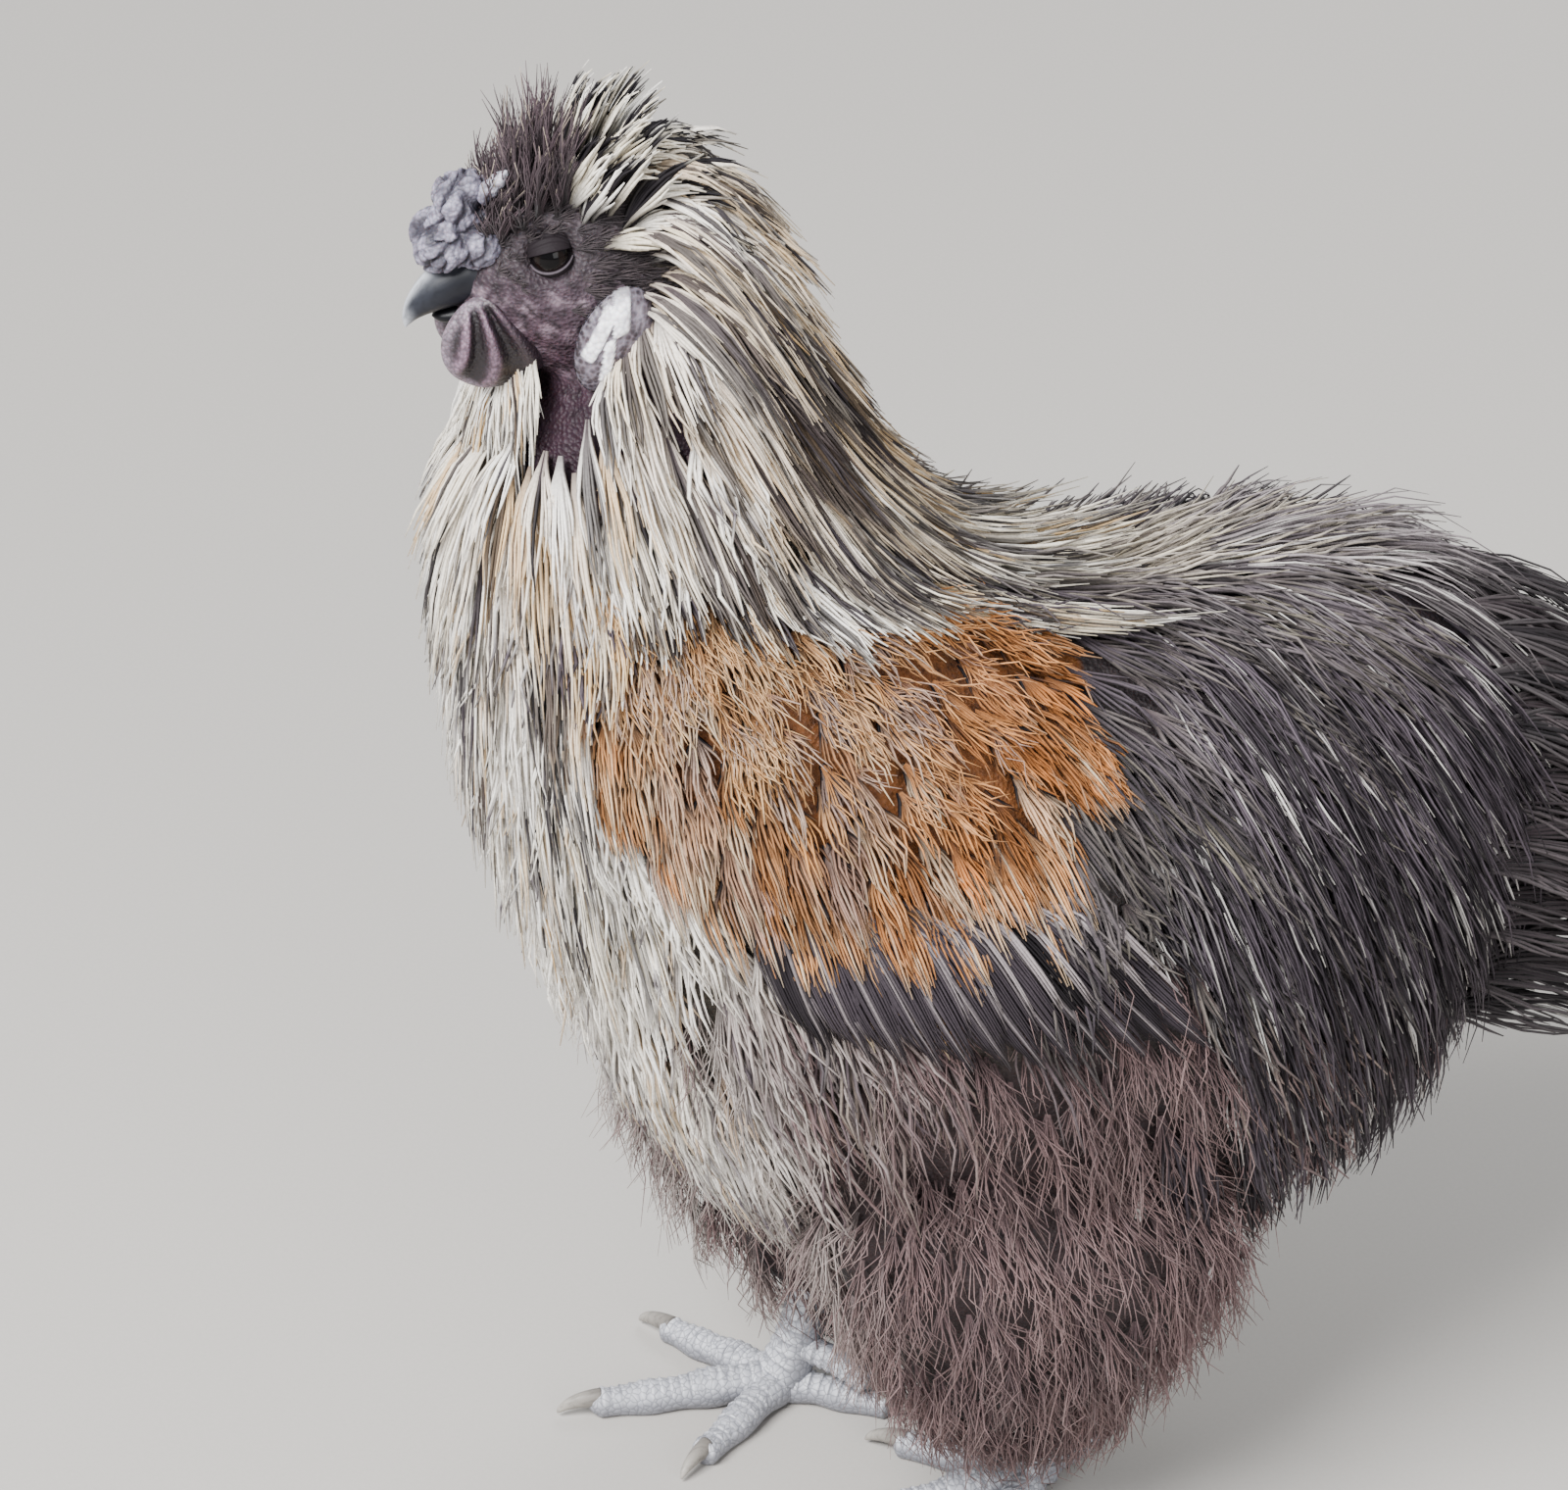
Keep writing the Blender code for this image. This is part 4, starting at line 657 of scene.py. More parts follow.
# Creases wander over the lobes where soft lumps change sign, as on a walnut.
knots = ways * reach[..., None]
wrung = knots + 1.6 * rumple(knots, 4.0, 6)[..., None]
crease, crinkle = rumple(wrung, 5.4, 14), rumple(wrung, 3.2, 15)
deep, fine = hump(crease / 0.10), hump(crinkle / 0.08)
relief = reach + 0.4 - 1.5 * deep - 0.4 * fine + 0.15 * rumple(knots, 1.2, 9)
comb = COMB_AT + ways * (relief * MM)[..., None]
comb_shade = blend(COMB_PALE, COMB_GREY, ease(-0.4, 0.6, rumple(comb, 3 * MM, 5)))
# The creases are painted dark: painted shade in their grooves.
groove_shade = hump(crease / 0.17) + 0.45 * hump(crinkle / 0.12)
comb_shade = blend(comb_shade, COMB_DARK, np.clip(groove_shade, 0, 1) * 0.9)
faces = outward(comb, grid_faces(110, 150, closed=True), COMB_AT)
new_piece("comb", comb, [faces], comb_flesh, ("comb",), comb_shade)

spur_s, spur_t = np.meshgrid(np.linspace(0, 1, 24), np.arange(24) / 24 * 2 * math.pi, indexing="ij")
spur_line = np.stack([3.4 + 2.0 * spur_s, -95.5 + 5.2 * spur_s, 328 + 6.4 * spur_s], -1) * MM + SHIFT
spur_half = 1.9 * MM * np.sqrt(1 - spur_s**2.2) * (1 + 0.12 * np.sin(spur_s * 17 + spur_t * 2))
spur_way = unit(np.array([2.0, 5.2, 6.4]))
spur_side = unit(np.cross(spur_way, [0, 0, 1.0]))
spur = spur_line + spur_half[..., None] * (np.cos(spur_t)[..., None] * spur_side
                                           + np.sin(spur_t)[..., None] * np.cross(spur_way, spur_side))
spur_faces = outward(spur, grid_faces(24, 24, closed=True), spur.reshape(-1, 3).mean(0))
spur_end = outward(spur, np.arange(24)[None, :], spur.reshape(-1, 3).mean(0))
# The spur is painted paler towards its upper tip: a painted highlight.
new_piece("comb_spur", spur, [spur_faces, spur_end], comb_flesh, (),
          blend(COMB_GREY, linear("#c9c6d2"), ease(0.1, 0.8, spur_s)))

WATTLE_RADII = np.array([4.4, 11.6, 10.8])
WATTLE_DARK, WATTLE_MAUVE, WATTLE_PINK = linear("#150d12"), linear("#32232c"), linear("#82697a")
LOBE_WHITE, LOBE_MAUVE, LOBE_GREY = linear("#f6f5fa"), linear("#40353c"), linear("#746a76")
wattle_flesh = flesh_finish("folded_wattle_flesh", 0.5, 0.0008, WATTLE_DARK)
lobe_flesh = flesh_finish("smooth_earlobe_flesh", 0.42, 0.0011, linear("#8d8592"))
for side_name, side in SIDES.items():
    ways = ball_ways(80, 120)
    # A wattle: an oval disc whose outer face is drawn into upright folds that fan from its top.
    top = np.array([0, -0.25, 1.6])
    fan_angle = np.arctan2(ways[..., 1] - top[1] + 0.25 * ways[..., 2] ** 2, -(ways[..., 2] - top[2]))
    fold = np.sin(fan_angle * 20 + 0.4 + 0.5 * np.sin(ways[..., 2] * 3)) * ease(1.0, 0.6, ways[..., 2])
    swell = 1 + 0.30 * fold * ease(-0.5, 0.3, ways[..., 0] * side) + 0.05 * rumple(ways, 0.4, 21)
    local = ways * WATTLE_RADII * np.stack([swell, np.ones_like(swell), np.ones_like(swell)], -1)
    local[..., 1] *= 1 - 0.10 * ways[..., 2]
    centre = np.array([7.0 * side, -92.6 - 1.0 * side, 298.2]) * MM + SHIFT
    wattle = centre + local * MM
    # The folds' hollows and the rear half are painted dark, as shade; the ridges of the front half and the
    # front rim are painted paler, as light falling on them.
    shade = blend(WATTLE_DARK, WATTLE_MAUVE,
                  ease(-0.3, 0.5, fold) * (0.55 + 0.45 * ease(0.5, -0.3, ways[..., 1])))
    shade = blend(shade, WATTLE_PINK, ease(0.3, 0.95, fold) * ease(0.4, -0.5, ways[..., 1]) * 0.95)
    front = ease(0.80, 0.97, np.hypot(ways[..., 1], ways[..., 2])) * ease(0.2, -0.5, ways[..., 1])
    shade = blend(shade, linear("#8b7b88"), front * 0.8)
    faces = outward(wattle, grid_faces(80, 120, closed=True), centre)
    new_piece("wattle_" + side_name, wattle, [faces], wattle_flesh,
              ("wattle_" + side_name,), shade)
    # An earlobe: a leaning oval with a raised pale plate in front and mauve flesh behind.
    lean = math.radians(-24)
    oval = ways * np.array([4.2, 7.4, 12.0])
    # Pale plates: one follows the front and top edge, a second crosses the middle lower down. Each is an
    # ellipse with hard sides, (ahead, up, half width, half height, turn) as shares of the lobe.
    strips = ((0.26, 0.58, 0.21, 0.42, -0.45), (0.60, 0.10, 0.19, 0.52, 0.10),
              (0.12, -0.30, 0.14, 0.42, -0.45))
    plate = np.zeros(ways.shape[:2])
    for ahead, up, wide, tall, tilt in strips:
        across, along = -ways[..., 1] - ahead, ways[..., 2] - up
        p = across * math.cos(tilt) + along * math.sin(tilt)
        r = along * math.cos(tilt) - across * math.sin(tilt)
        plate = np.maximum(plate, np.exp(-np.abs(p / wide) ** 8 - np.abs(r / tall) ** 8))
    oval[..., 0] += side * (0.7 * plate - 0.6 + 0.3 * rumple(ways, 0.35, 31)) * (ways[..., 0] * side > 0)
    lobe_at = np.array([17.4 * side, -72, 300]) * MM + SHIFT
    leaned = np.stack([oval[..., 0], oval[..., 1] * math.cos(lean) - oval[..., 2] * math.sin(lean),
                       oval[..., 1] * math.sin(lean) + oval[..., 2] * math.cos(lean)], -1)
    lobe = lobe_at + leaned * MM
    wander = rumple(ways, 0.5, 33)
    shade = blend(LOBE_MAUVE, LOBE_GREY, ease(-0.2, 0.7, 0.9 * wander + 0.4 * ways[..., 2]))
    shade = blend(shade, MAUVE_DARK, hump(rumple(ways, 0.28, 35) / 0.12) * 0.6)
    shade = blend(shade, np.array(LOBE_WHITE) * 1.1, ease(0.35, 0.6, plate + 0.25 * wander))
    shade = blend(shade, MAUVE_DARK, ease(0.80, 0.97, np.hypot(ways[..., 1], ways[..., 2])) * 0.7)
    faces = outward(lobe, grid_faces(80, 120, closed=True), lobe_at)
    new_piece("earlobe_" + side_name, lobe, [faces], lobe_flesh,
              ("earlobe_" + side_name,), shade)


# Feet
# Each foot has five toes in blue-grey scutes, with pads beneath and a blunt claw on all but the short fifth.
# The scutes are horny plates that overlap like tiles down the top of the shank and toes.
FEET = {1: (25, 19), -1: (-25, -25)}  # middle of each foot, (x, y) in millimetres
FOOT_TURN = math.radians(6)
TOES = {  # name: start ahead (x, y) for a left foot, heading in degrees, length, radius at the base and tip
    "middle": ((0, -3), 0, 42, 4.9, 3.4),
    "outer": ((2, -2), 50, 33, 4.5, 3.1),
    "inner": ((-2, -2), -46, 31, 4.5, 3.1),
    "hind": ((-2, 2), -152, 24, 4.2, 2.9),
}
SCALE_BLUE, SCALE_PALE, SCALE_DARK = linear("#9a9ba3"), linear("#cfd0d6"), linear("#5c5d64")
CLAW_PALE, CLAW_DARK = linear("#a9a49c"), linear("#57524e")


def sweep(path, up, half, depth, ring):
    """A closed profile carried along paths: point = path + side x across x half width + up x height x depth.

    path and up are (n, r, 3), half and depth (n, r), and ring (k, 2) runs anticlockwise seen from the tip.
    """
    ahead = unit(np.gradient(path, axis=1))
    side = unit(np.cross(up, ahead))
    up = np.cross(ahead, side)
    points = (path[:, :, None] + side[:, :, None] * (half[..., None] * ring[:, 0])[..., None]
              + up[:, :, None] * (depth[..., None] * ring[:, 1])[..., None])
    n, r, k = points.shape[:3]
    number = np.arange(n * r * k).reshape(n, r, k)
    beside = np.roll(number, -1, axis=2)
    quads = np.stack([number[:, :-1], beside[:, :-1], beside[:, 1:], number[:, 1:]], -1).reshape(-1, 4)
    caps = np.concatenate([number[:, 0, ::-1], number[:, -1]])
    return points, quads, caps


def stations(start, bends, count):
    """A smooth path of count points through a few places."""
    return spline(np.array([start, *bends], float), np.linspace(0, len(bends), count))


# Leg scales: dry blue-grey horn plates, paler along each lower edge, with dark skin in the joints.
leg_scales, scale_tree, scale_shader = new_finish("dry_leg_scutes", 0.5)
scale_tone = put(scale_tree, "Attribute", attribute_name="Tone")
scale_spot = put(scale_tree, "TexCoord").outputs["Object"]
scale_cells = put(scale_tree, "TexVoronoi", {"Vector": scale_spot, "Scale": 620.0},
                  feature="DISTANCE_TO_EDGE")
scale_lines = put(scale_tree, "MapRange", {0: scale_cells.outputs[0], 1: 0.0, 2: 0.12, 3: 0.75, 4: 0.0})
scale_mix = put(scale_tree, "Mix", {0: scale_lines.outputs[0], 6: scale_tone.outputs[0], 7: (*SCALE_DARK, 1)},
                data_type="RGBA")
wire(scale_tree, scale_shader, scale_mix.outputs[2], scale_cells.outputs[0], 0.5, 0.0006)

ROUND = np.stack([np.cos(np.arange(28) / 28 * 2 * math.pi), np.sin(np.arange(28) / 28 * 2 * math.pi)], -1)


def scaled_limb(path, radius, flat_under, pitch):
    """A toe or shank: a round profile whose upper side steps out in a saw-tooth of that pitch, and whose
    underside stops at the floor where flat_under is set. Returns points, faces and shades."""
    steps = np.concatenate([[0], np.cumsum(np.linalg.norm(np.diff(path, axis=0), axis=1))])
    up = np.broadcast_to(np.array([0, 0, 1.0]) if flat_under else np.array([0, -1.0, 0.15]), path.shape)
    tooth = (steps / pitch) % 1.0
    points, quads, caps = sweep(path[None], up[None], radius[None], radius[None], ROUND)
    top = ease(0.0, 0.6, ROUND[:, 1])
    plate = (0.55 * MM * (tooth**1.5 - 0.4))[:, None] * top
    middle = path[:, None]
    points = points[0] + unit(points[0] - middle) * plate[..., None]
    if flat_under:
        points[..., 2] = np.maximum(points[..., 2], 0.15 * MM)
    shade = blend(SCALE_BLUE, SCALE_PALE, tooth[:, None] * top * 0.9)
    shade = blend(shade, SCALE_DARK, (ease(0.14, 0.0, tooth) + ease(0.92, 1.0, tooth))[:, None] * top * 0.8)
    shade = blend(shade, SCALE_DARK, 0.35 * (1 - top) * np.ones_like(tooth)[:, None])
    return points, quads, caps, shade


for side_name, side in SIDES.items():
    x, y = FEET[side]
    parts, claws = [], []
    for toe, ((dx, dy), heading, length, base, tip) in TOES.items():
        angle = FOOT_TURN * side + math.radians(heading) * side
        way = np.array([math.sin(angle), -math.cos(angle), 0])
        s = np.linspace(0, 1, 90)
        radius = (base + (tip - base) * s) * MM
        radius = radius * (1 + 0.07 * np.cos(s * (3 if toe in ("middle", "outer") else 2) * 2 * math.pi))
        radius = radius * np.sqrt(np.clip((1 - s) / 0.07, 0.02, 1))
        start = np.array([x + dx * side, y + dy, 0]) * MM + SHIFT
        knuckle = 0.6 * MM * np.sin(s * math.pi * 2.2)
        path = start + way * (s * length * MM)[:, None]
        path[:, 2] = (base + (tip - base) * s) * MM * 0.86 + knuckle * 0.5
        parts.append(scaled_limb(path, radius, True, 2.3 * MM))
        # The claw leaves the toe's end and curves down until its point is just off the floor.
        c = np.linspace(0, 1, 26)
        claw_path = start + way * ((length - 3.0) * MM + 10.5 * MM * np.sin(c * 1.25))[:, None]
        claw_path[:, 2] = (tip * 0.95 + 1.1 + 0.6 * c - 3.6 * c**2.2) * MM
        claw_half = 2.0 * MM * (1 - c) ** 0.65 + 0.12 * MM
        claws.append((claw_path, claw_half))
    # The shank comes down out of the fluff, and the short fifth toe points back and up beside it.
    shank = stations((x + side, y + 8, 52), [(x + side * 0.6, y + 7.5, 30), (x, y + 3.5, 14), (x, y, 6)], 70)
    shank_radius = (5.2 + 1.1 * np.linspace(0, 1, 70) ** 3) * MM
    parts.append(scaled_limb(shank * MM + SHIFT, shank_radius, False, 3.1 * MM))
    fifth = stations((x - 2 * side, y + 4, 14),
                     [(x - 8 * side, y + 10, 13), (x - 13.5 * side, y + 17, 8.5)], 50)
    fifth_radius = 3.1 * MM * np.sqrt(np.clip((1 - np.linspace(0, 1, 50)) / 0.1, 0.03, 1))
    parts.append(scaled_limb(fifth * MM + SHIFT, fifth_radius, False, 2.2 * MM))
    points, faces, ends, shades, count = [], [], [], [], 0
    for limb_points, quads, caps, shade in parts:
        points.append(limb_points.reshape(-1, 3))
        shades.append(shade.reshape(-1, 3))
        faces.append(quads + count)
        ends.append(caps + count)
        count += limb_points.size // 3
    new_piece("foot_" + side_name, np.concatenate(points), [np.concatenate(faces), np.concatenate(ends)],
              leg_scales, ("foot_" + side_name,), np.concatenate(shades))
    claw_paths = np.stack([path for path, half in claws])
    claw_halves = np.stack([half for path, half in claws])
    claw_up = np.broadcast_to(np.array([0, 0, 1.0]), claw_paths.shape)
    claw_points, quads, caps = sweep(claw_paths, claw_up, claw_halves, claw_halves * 1.15, ROUND[::2])
    claw_points[..., 2] = np.maximum(claw_points[..., 2], 0.1 * MM)
    claw_shade = blend(CLAW_DARK, CLAW_PALE, np.broadcast_to(np.linspace(0.2, 1, 26)[None, :, None],
                                                             claw_points.shape[:3]))
    new_piece("claws_" + side_name, claw_points, [quads, caps], beak_horn, (),
              claw_shade)


# Plumage: how every feather is grown
# A feather is a bundle of thin solid barbs on one shaft line. The line starts in the skin, follows the lie
# of the plumage over the form, and lifts a little towards its tip so that it covers the next.
STRAND = np.array([(-1, -0.35), (1, -0.35), (0, 1.0)])  # a barb's three-sided profile


def roots_on(form, number, u_span, v_span, keep, seed):
    """Evenly scattered roots (u, v): a lattice in two irrational steps, thinned by area and by keep."""
    i = np.arange(number * 12)
    u = u_span[0] + (u_span[1] - u_span[0]) * ((i * 0.7548776662 + seed * 0.317) % 1)
    v = v_span[0] + (v_span[1] - v_span[0]) * ((i * 0.5698402910 + seed * 0.713) % 1)
    place, _, along_u, along_v = form.frame(u, v)
    weight = np.linalg.norm(np.cross(along_u, along_v), axis=1) * keep(place)
    total = np.cumsum(weight)
    chosen = np.searchsorted(total, (np.arange(number) + 0.5) / number * total[-1])
    return u[chosen], v[chosen]


def trace(form, u, v, lie, length, steps):
    """Paths over a form from the roots, each step laid on the surface along lie(place, normal, along_v)."""
    u, v = np.array(u, float), np.array(v, float)
    places, normals = [], []
    for _ in range(steps + 1):
        place, normal, along_u, along_v = form.frame(u, v)
        places.append(place)
        normals.append(normal)
        way = lie(place, normal, along_v)
        way = unit(way - (way * normal).sum(-1, keepdims=True) * normal) * (length / steps)[:, None]
        e, f, g = (along_u**2).sum(-1), (along_u * along_v).sum(-1), (along_v**2).sum(-1)
        a, b = (way * along_u).sum(-1), (way * along_v).sum(-1)
        det = np.maximum(e * g - f * f, 1e-14)
        u = u + np.clip((a * g - b * f) / det, -0.12, 0.12)
        v = np.clip(v + np.clip((b * e - a * f) / det, -0.9, 0.9), 0.05, form.last - 0.05)
    return np.stack(places, 1), np.stack(normals, 1)


def stop_short(form, u, v, lie, length, steps, barred, overlap):
    """Paths as trace gives them, but each that starts outside the barred place ends overlap metres inside."""
    path, _ = trace(form, u, v, lie, length, steps)
    hit = barred(path) & ~barred(path[:, :1])
    share = np.where(hit.any(1), hit.argmax(1) / steps + overlap / length, 1.0)
    return trace(form, u, v, lie, length * np.clip(share, 0.35, 1.0), steps)


def arcs(place, out, long, fall, count):
    """Free paths that leave a place along out and bend down: place + out x long x s + fall x s^2."""
    s = np.linspace(0, 1, count)[None, :, None]
    return place[:, None] + out[:, None] * long[:, None, None] * s + fall[:, None] * s**2


def towards(pull):
    """A lie of feathers that runs down the form from the head, drawn aside by pull away from the ridge."""
    return lambda place, normal, along_v: (-unit(along_v) + np.array(pull)
                                           * ease(0, 16 * MM, np.abs(place[..., :1])))


def read_along(path, s):
    """Points of paths (n, r, 3) at the shares s (n, b, k) of their length."""
    at = np.clip(s, 0, 1) * (path.shape[1] - 1)
    i = np.minimum(at.astype(int), path.shape[1] - 2)
    t = (at - i)[..., None]
    who = np.arange(len(path))[:, None, None]
    return path[who, i] * (1 - t) + path[who, i + 1] * t


def barbs(path, normals, draw, width, count, rings, rise, belly, pinch, point, barb, wave, ragged, loft,
          root=2.0, arch=0.12, depth=0.35):
    """The barbs of n feathers along n paths. Sizes are in millimetres.

    Sideways place = q x width / 2 x opening(s), where q runs from -1 to 1 over the barbs, opening grows to 1
    at belly and closes by pinch at the tip. A barb's length is 1 - point x |q|^1.6, less a ragged share.
    Height = rise x s^1.2 - root x (1 - s)^2 - arch x |sideways| + loft x s x its own draw, and waves grow
    along it. Each barb is about barb wide, and depth sets its thickness.
    """
    n = len(path)
    q = np.linspace(-1, 1, count)[None, :] + draw.uniform(-0.5, 0.5, (n, count)) / count
    long = 1 - point * np.abs(q) ** 1.6 - ragged * draw.uniform(0, 1, (n, count))
    s = long[..., None] * np.linspace(0, 1, rings)
    centre, up = read_along(path, s), unit(read_along(normals, s))
    ahead = unit(np.gradient(centre, axis=2))
    side = unit(np.cross(up, ahead))
    opening = ease(0, belly, s) * (1 - pinch * np.clip((s - belly) / (1 - belly), 0, 1) ** 2) + 0.08
    width = np.broadcast_to(np.asarray(width, float).reshape(-1, 1, 1), (n, 1, 1))
    sideways = q[..., None] * width / 2 * opening
    phase = draw.uniform(0, 6.3, (n, count, 1))
    swing = wave * s**1.5 * np.sin(s * draw.uniform(5, 11, (n, count, 1)) + phase)
    height = (rise * s**1.2 - root * (1 - s) ** 2 - arch * np.abs(sideways)
              + loft * s * draw.uniform(-0.3, 1, (n, count, 1))
              + 0.5 * wave * s * np.sin(s * 9 + phase * 1.7))
    line = centre + side * ((sideways + swing) * MM)[..., None] + up * (height * MM)[..., None]
    t = np.linspace(0, 1, rings)
    half = barb / 2 * MM * np.sqrt(1 - (0.97 * t) ** 2.4) * (0.75 + 0.25 * ease(0, 0.3, t))
    half = np.broadcast_to(half, (n * count, rings)) * draw.uniform(0.75, 1.25, (n * count, 1))
    points, quads, caps = sweep(line.reshape(n * count, rings, 3), up.reshape(n * count, rings, 3),
                                half, half * depth * 2, STRAND)
    return {"points": points.reshape(n, count, rings, 3, 3), "quads": quads, "caps": caps,
            "q": q[..., None], "s": s}


def unwrap(grown, u, v, form):
    """Each feather's patch, 0.003 across, at its root's place on the form's own unwrap."""
    across = (grown["q"] * 0.5 + 0.5) * 0.003 + (u % 1.0)[:, None, None] * 0.99
    along = grown["s"] * 0.003 + (v / form.last)[:, None, None] * 0.99
    pair = np.stack([np.broadcast_to(across, grown["s"].shape), along], -1)
    return np.repeat(pair[..., None, :], 3, axis=3)


def barb_finish(name, roughness, sheen, streak):
    """Feather barbs: matt keratin threads. streak is how dark the fine lines between them get."""
    material, tree, shader = new_finish(name, roughness, {
        "Sheen Weight": sheen, "Sheen Roughness": 0.5, "Specular IOR Level": 0.15})
    tone = put(tree, "Attribute", attribute_name="Tone")
    spot = put(tree, "TexCoord").outputs["Object"]
    fine = put(tree, "TexNoise", {"Vector": spot, "Scale": 1600.0, "Detail": 3.0})
    shade = darkened(tree, tone.outputs[0], fine.outputs[0], 0.42, 0.8, streak, SOOT)
    tree.links.new(shade, shader.inputs["Base Color"])
    return material


def grow_piece(name, grown, u, v, form, shade, material, replaced=()):
    """Makes a plumage piece from grown barbs and their shades (n, barbs, rings, 3)."""
    tone = np.repeat(np.broadcast_to(shade, (*grown["s"].shape, 3))[..., None, :], 3, axis=3)
    return new_piece(name, grown["points"], [grown["quads"], grown["caps"]], material, replaced, tone,
                     unwrap(grown, u, v, form))


silky_barbs = barb_finish("silky_hackle_barbs", 0.55, 0.0, 0.35)
down_barbs = barb_finish("soft_down_barbs", 0.85, 0.05, 0.4)


# Hackle
# Long pointed feathers fall from the nape and cheeks over the neck and shoulders. Each is cream to white at
# its edges with a black stripe down the middle, and some are gold towards the nape.
def bare_strip(place):
    """The narrow bare strip of the throat, between the wattles' feathers and the neck's."""
    y, z = body_yz(place)
    line = -85 + 0.35 * (286 - z)
    return hump((y - line) / 3.4) * ease(266, 274, z) * (np.abs(place[..., 0]) > 5 * MM)


def hackle_region(place):
    """The neck and cheeks, off the bare face, the throat's bare strip and the coverts."""
    y, z = body_yz(place)
    below_face = 1 - ease(277, 282, z) * ease(-76, -80, y) * ease(-97, -94, y)
    return ease(190, 212, z) * (1 - bare_strip(place)) * below_face * np.where(on_wing(place, 0.0), 0.0, 1.0)


DARK_SPOTS = ((-20, 262, 11), (-82, 250, 11), (-62, 262, 8), (-45, 300, 9))  # y, z and reach in millimetres


def hackle_shade(grown, place, draw, striped=0.82):
    """Light edges round a black stripe that stops short of the tip, on a dark downy base deepened by painted
    shade.
    """
    n, q, s = len(grown["q"]), grown["q"], grown["s"]
    y, z = body_yz(place)
    gold = ease(245, 300, z) * ease(-84, -50, y) * draw.uniform(0.1, 1.0, n)
    gold = np.maximum(gold, hump((y + 82) / 12, (z - 262) / 18) * draw.uniform(0, 1.3, n))
    gold = np.maximum(gold, (draw.uniform(0, 1, n) < 0.14) * draw.uniform(0.4, 1, n))
    light = blend(CREAM, WHITE, np.clip(draw.uniform(0.0, 1, n) + 0.3 * ease(-20, -60, y), 0, 1))
    light = blend(light, STRAW, np.clip(gold, 0, 1) * 0.85)[:, None, None]
    dark = blend(SOOT, SLATE, draw.uniform(0, 0.5, n))[:, None, None]
    cluster = ease(0.1, 0.6, rumple(place, 17 * MM, 41))
    for dark_y, dark_z, reach in DARK_SPOTS:
        near = hump((y - dark_y) / reach, (z - dark_z) / reach)
        cluster = np.maximum(cluster, 1.6 * near)
    wide = (0.16 + 0.5 * draw.uniform(0, 1, n) * 0.6 + 0.6 * cluster)[:, None, None]
    striped = striped * (1 - 0.5 * ease(-68, -84, y))
    strength = (draw.uniform(0, 1, n) < striped)[:, None, None] * draw.uniform(0.85, 1.0, (n, 1, 1))
    stripe = ease(wide + 0.12, wide - 0.06, np.abs(q) + 0.15 * s) * ease(1.0, 0.88, s) * strength
    shade = blend(light, dark, stripe)
    # The base is painted dark: its own down, and painted shade under the feathers that lie over it.
    return blend(shade, FLUFF_DARK, ease(0.32, 0.0, s) * 0.8)


for side_name, side in SIDES.items():
    draw = np.random.default_rng(10 + side)
    u_span = (0.0, 0.5) if side > 0 else (0.5, 1.0)
    u, v = roots_on(trunk, 360, u_span, (7.0, 12.95), hackle_region, 3 + side)
    length = draw.uniform(0.85, 1.15, len(u)) * (30 + 26 * ease(12.9, 10.5, v)) * MM
    place = trunk.frame(u, v)[0]
    path, normals = stop_short(winged, u, v, towards((0, 0.26, -0.6)), length, 9,
                               lambda at: on_wing(at, 0.05), 11 * MM)
    grown = barbs(path, normals, draw, draw.uniform(6.0, 9.0, len(u)), count=9, rings=6, rise=9.0,
                  belly=0.45, pinch=0.85, point=0.5, barb=1.05, wave=0.9, ragged=0.2, loft=2.0, root=1.0)
    shade = hackle_shade(grown, place, draw)
    grow_piece("hackle_" + side_name, grown, u, v, trunk, shade, silky_barbs)

# The nape's hackles root round the back of the head, from the crest down behind each earlobe, and arch
# out and down over the neck.
draw = np.random.default_rng(141)


def nape_region(place):
    """Behind a slanting line at the rear of the head, above the lobes' lower ends."""
    y, z = body_yz(place)
    return ease(-71, -66, y - 0.12 * (z - 300)) * ease(282, 288, z)


u, v = roots_on(head, 290, (0, 1), (0.15, 4.2), nape_region, 17)
place, normal = head.frame(u, v)[:2]
back_of_head = ease(-66, -48, body_yz(place)[0])
out = normal * (0.75 - 0.2 * back_of_head)[:, None] + np.array([0, 0.5, 0.0])
out = unit(out + draw.normal(0, 0.10, normal.shape))
long = draw.uniform(0.8, 1.15, len(u)) * (34 - 13 * back_of_head) * MM
fall = np.array([0, 0.10, -1.15]) * long[:, None]
path = arcs(place, out, long, fall, 10)
normals = np.broadcast_to(unit(normal + np.array([0, 0.5, 0.9]))[:, None], path.shape)
grown = barbs(path, normals, draw, draw.uniform(4.5, 7.0, len(u)), count=9, rings=5, rise=1.5, belly=0.45,
              pinch=0.85, point=0.5, barb=1.0, wave=0.9, ragged=0.15, loft=1.5, root=1.5)
grow_piece("nape_hackle", grown, u, v, head, hackle_shade(grown, place, draw), silky_barbs)

# Shorter feathers close the throat: they root under the chin and behind the wattles and fall on the breast.
draw = np.random.default_rng(151)


def throat_region(place):
    """Under the chin and behind the wattles, off the bare strip."""
    y, z = body_yz(place)
    return ease(-87, -90, y) * ease(298, 293, z) * (1 - bare_strip(place))


